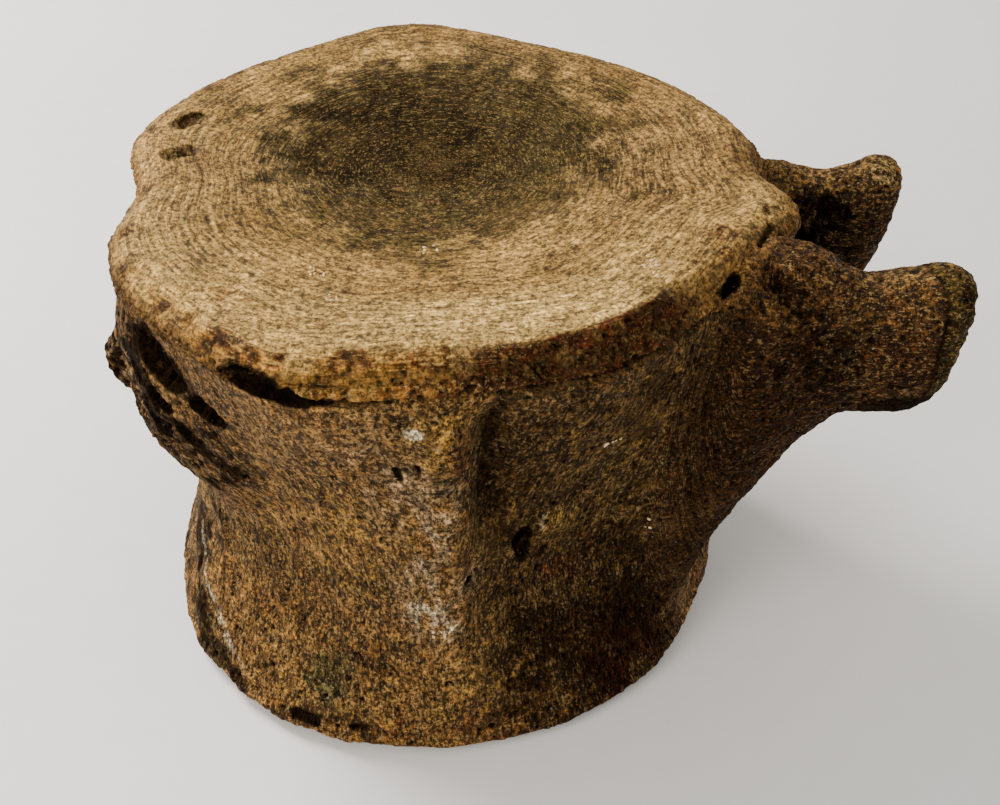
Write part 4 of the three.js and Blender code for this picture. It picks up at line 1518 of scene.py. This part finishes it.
@dataclass
class Scatter:
    """Small crumbs strewn over parts of the surface by a node tree."""

    name: str
    least: float
    most: float
    density: float
    stretch: float
    rough: float
    seed: int
    splits: int = 2

    def values(self) -> dict[str, float]:
        """The tree's number inputs, in metres where they are sizes."""
        return {
            "Density": self.density,
            "Least size": self.least * MM,
            "Most size": self.most * MM,
            "Stretch": self.stretch,
            "Roughness": self.rough,
        }

    def tree(self) -> tuple[bpy.types.NodeTree, dict[str, str]]:
        """Builds the node tree.

        Returns:
            The tree, and the identifiers of its inputs by name.
        """
        tree = bpy.data.node_groups.new(self.name, "GeometryNodeTree")
        kinds = {"Geometry": "Geometry", **dict.fromkeys(self.values(), "Float"), "Seed": "Int", "Finish": "Material"}
        names = {}
        for label, kind in kinds.items():
            socket = tree.interface.new_socket(label, in_out="INPUT", socket_type=f"NodeSocket{kind}")
            names[label] = socket.identifier
        tree.interface.new_socket("Geometry", in_out="OUTPUT", socket_type="NodeSocketGeometry")
        rows = (
            ("given", "NodeGroupInput", {}, {}),
            ("share", "GeometryNodeInputNamedAttribute", {"data_type": "FLOAT"}, {"Name": "Crumbs"}),
            ("product", "ShaderNodeMath", {"operation": "MULTIPLY"}, {}),
            ("points", "GeometryNodeDistributePointsOnFaces", {}, {}),
            ("ball", "GeometryNodeMeshIcoSphere", {}, {"Radius": 1.0, "Subdivisions": self.splits}),
            ("lumps", "ShaderNodeTexNoise", {}, {"Scale": 1.4}),
            ("offset", "ShaderNodeVectorMath", {"operation": "SUBTRACT"}, {1: (0.5, 0.5, 0.5)}),
            ("sized", "ShaderNodeVectorMath", {"operation": "SCALE"}, {}),
            ("crumb", "GeometryNodeSetPosition", {}, {}),
            (
                "turn",
                "FunctionNodeRandomValue",
                {"data_type": "FLOAT_VECTOR"},
                {"Min": (-0.5, -0.5, 0.0), "Max": (0.5, 0.5, 6.283)},
            ),
            ("spin", "FunctionNodeEulerToRotation", {}, {}),
            ("rotate", "FunctionNodeRotateRotation", {"rotation_space": "LOCAL"}, {}),
            ("size", "FunctionNodeRandomValue", {"data_type": "FLOAT"}, {}),
            ("longer", "ShaderNodeMath", {"operation": "MULTIPLY"}, {}),
            ("scale", "ShaderNodeCombineXYZ", {}, {}),
            ("strewn", "GeometryNodeInstanceOnPoints", {}, {}),
            ("real", "GeometryNodeRealizeInstances", {}, {}),
            ("finish", "GeometryNodeSetMaterial", {}, {}),
            ("done", "NodeGroupOutput", {}, {}),
        )
        links = (
            ("share", "Attribute", "product", 0),
            ("given", "Density", "product", 1),
            ("given", "Geometry", "points", "Mesh"),
            ("product", 0, "points", "Density"),
            ("given", "Seed", "points", "Seed"),
            ("lumps", "Color", "offset", 0),
            ("offset", 0, "sized", 0),
            ("given", "Roughness", "sized", 3),
            ("ball", "Mesh", "crumb", "Geometry"),
            ("sized", 0, "crumb", "Offset"),
            ("turn", "Value", "spin", 0),
            ("points", "Rotation", "rotate", 0),
            ("spin", 0, "rotate", 1),
            ("given", "Least size", "size", 2),
            ("given", "Most size", "size", 3),
            ("given", "Seed", "size", "Seed"),
            ("size", 1, "longer", 0),
            ("given", "Stretch", "longer", 1),
            ("longer", 0, "scale", 0),
            ("size", 1, "scale", 1),
            ("size", 1, "scale", 2),
            ("points", "Points", "strewn", "Points"),
            ("crumb", 0, "strewn", "Instance"),
            ("rotate", 0, "strewn", "Rotation"),
            ("scale", 0, "strewn", "Scale"),
            ("strewn", 0, "real", 0),
            ("real", 0, "finish", "Geometry"),
            ("given", "Finish", "finish", "Material"),
            ("finish", 0, "done", 0),
        )
        nodes = {}
        for name, kind, fields, inputs in rows:
            nodes[name] = tree.nodes.new(kind)
            for key, value in fields.items():
                setattr(nodes[name], key, value)
            for key, value in inputs.items():
                nodes[name].inputs[key].default_value = value
        for start, output, end, entry in links:
            tree.links.new(nodes[start].outputs[output], nodes[end].inputs[entry])
        return tree, names

    def build(self, bone: BoneSurface, share: Array, finish: bpy.types.Material, slot: Slot) -> bpy.types.Object:
        """Strews the crumbs and turns them into a plain mesh.

        Args:
            bone: The surface that they lie on.
            share: How thickly they lie at each of its points, from 0 to 1.
            finish: Their material.
            slot: Not used.

        Returns:
            The finished piece.
        """
        squares = bone.surface.squares[share[bone.surface.squares].max(1) > 0.02]
        used, local = np.unique(squares, return_inverse=True)
        thing = mesh_object(self.name, bone.surface.points[used], local.reshape(-1, 4))
        lay(thing, "Crumbs", "FLOAT", share[used])
        tree, names = self.tree()
        nodes = thing.modifiers.new("strewn", "NODES")
        nodes.node_group = tree
        for label, value in {**self.values(), "Seed": self.seed, "Finish": finish}.items():
            nodes[names[label]] = value
        bpy.context.view_layer.update()
        done = bpy.data.meshes.new_from_object(thing.evaluated_get(bpy.context.evaluated_depsgraph_get()))
        thing.modifiers.clear()
        thing.data = done
        done.name = self.name
        done.polygons.foreach_set("use_smooth", np.ones(len(done.polygons), bool))
        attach(thing, "root")
        log.info("%s: %d faces", self.name, len(done.polygons))
        return thing


@dataclass
class LooseGrit:
    """Pale grit stuck on the bone, and splinters of inner bone in its breaks."""

    grit: Scatter = field(default_factory=lambda: Scatter("pale_grit", 0.14, 0.46, 5.0e5, 1.6, 0.7, 5))
    splinters: Scatter = field(default_factory=lambda: Scatter("bone_splinters", 0.16, 0.34, 4.0e4, 3.4, 0.7, 8, 1))

    def build(self, bone: BoneSurface) -> None:
        """Strews both."""
        p, place = bone.surface.points, bone.place
        clusters = (
            ((-3.5, -33, 148), (2.8, 2.0, 9), 0.9),
            ((-33.5, -47, 151), (2.6, 2.2, 9), 0.9),
            ((-53, -57.5, 154), (2.0, 1.8, 9), 0.9),
            ((57, -49, 154), (1.7, 4.6, 9), 1.0),
            ((57.5, -54.5, 154), (1.3, 1.5, 9), 1.2),
            ((-28, -60, 154), (2.6, 1.6, 9), 0.5),
            ((14, -66, 154), (3.2, 1.4, 9), 0.35),
            ((62, -61, 66), (1.6, 3, 2.2), 1.0),
            ((47, -70, 109), (2.0, 3, 2.0), 0.9),
        )
        share = np.zeros(len(p))
        for centre, reach, strength in clusters:
            share = np.maximum(share, strength * spot(p, centre, reach))
        share = share + 0.0012 * (place.top + place.side)
        dusted = np.clip(np.where(share > 0.08, share, 0), 0, 1)
        pale = CrumbFinish("grit_cream", Ground.CHALK, Ground.BRIGHT).build()
        self.grit.build(bone, dusted, pale, Slot.FACE)
        dark = CrumbFinish("splinter_brown", Ground.STUMP, Ground.BLACK).build()
        self.splinters.build(bone, np.where(bone.broken > 0.5, bone.broken, 0), dark, Slot.BROKEN)


# ---------------------------------------------------------------- floor, light and camera


@dataclass
class Studio:
    """A pale floor, soft light from behind on the left, and the camera."""

    camera_place: Triple = (0.016, -0.311, 0.340)
    camera_tilt: float = 48.0
    lens: float = 43.02
    floor_reach: float = 4.0
    floor_cells: int = 8

    def camera(self) -> None:
        """Makes the camera and gives it to the scene."""
        data = bpy.data.cameras.new("camera")
        data.sensor_width = 36
        data.lens = self.lens
        data.clip_start = 0.01
        thing = bpy.data.objects.new("camera", data)
        thing.location = self.camera_place
        thing.rotation_euler = (math.radians(self.camera_tilt), 0, 0)
        bpy.context.scene.collection.objects.link(thing)
        bpy.context.scene.camera = thing

    def lamp(self, name: str, place: Triple, size: float, power: float, tint: Triple) -> None:
        """Adds a round lamp that points at the bone.

        Args:
            name: The lamp's name.
            place: Where it hangs, in metres.
            size: Its diameter.
            power: Its power in watts.
            tint: Its colour.
        """
        data = bpy.data.lights.new(name, "AREA")
        data.shape = "DISK"
        data.size, data.energy, data.color = size, power, tint
        thing = bpy.data.objects.new(name, data)
        thing.location = place
        aim = np.array([0.0, 0.0, 0.09]) - np.array(place)
        flat = math.hypot(aim[0], aim[1])
        thing.rotation_euler = (math.atan2(flat, -aim[2]), 0, math.atan2(aim[1], aim[0]) - math.pi / 2)
        bpy.context.scene.collection.objects.link(thing)

    def build(self) -> None:
        """Makes the floor, the lamps, the sky light and the camera."""
        count, reach = self.floor_cells, self.floor_reach / MM
        steps = np.linspace(-reach, reach, count + 1)
        x, y = np.meshgrid(steps, steps, indexing="ij")
        points = np.stack([x.ravel(), y.ravel(), np.full(x.size, -0.25)], axis=1)
        first = (np.arange(count)[:, None] * (count + 1) + np.arange(count)).ravel()
        squares = np.stack([first, first + count + 1, first + count + 2, first + 1], axis=1)
        floor = mesh_object("floor", points, squares)
        floor.data.materials.append(FloorFinish().build())
        floor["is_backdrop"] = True
        self.lamp("window", (-0.75, 0.6, 1.0), 0.6, 33.0, (1.0, 0.975, 0.94))
        self.lamp("front_fill", (-0.9, -0.75, 0.7), 0.8, 13.0, (1.0, 0.975, 0.94))
        self.lamp("right_fill", (1.2, -0.5, 0.7), 1.0, 1.5, (1.0, 0.97, 0.93))
        world = bpy.data.worlds.new("studio")
        world.use_nodes = True
        world.node_tree.nodes["Background"].inputs[0].default_value = (1.0, 0.98, 0.94, 1)
        world.node_tree.nodes["Background"].inputs[1].default_value = 0.95
        bpy.context.scene.world = world
        self.camera()


def main() -> None:
    """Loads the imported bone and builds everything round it."""
    logging.basicConfig(level=logging.INFO, format="%(name)s %(message)s", stream=sys.stdout)
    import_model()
    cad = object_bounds()
    low, high = (np.array(corner) / MM for corner in cad)
    bone = BoneSurface()
    bone.build(low, high)
    finishes = {
        Slot.SIDE: BoneFinish("weathered_side").build(),
        Slot.FACE: BoneFinish(
            "weathered_face",
            contrast=0.78,
            streak=0.9,
            pore_darkness=0.7,
            bump=0.0006,
            depth=0.66,
            chips=0.36,
            chip_colour=Ground.BRIGHT,
            bare=(0.003, 0.016),
        ).build(),
        Slot.STUMP: BoneFinish(
            "weathered_stump", contrast=1.15, pore_darkness=0.92, gloss=0.13, chips=0.54, bare=(0.004, 0.04)
        ).build(),
    }
    bone.dress(finishes)
    LooseGrit().build(bone)
    Studio().build()
    log.info("sizes written")


if __name__ == "__main__":
    main()
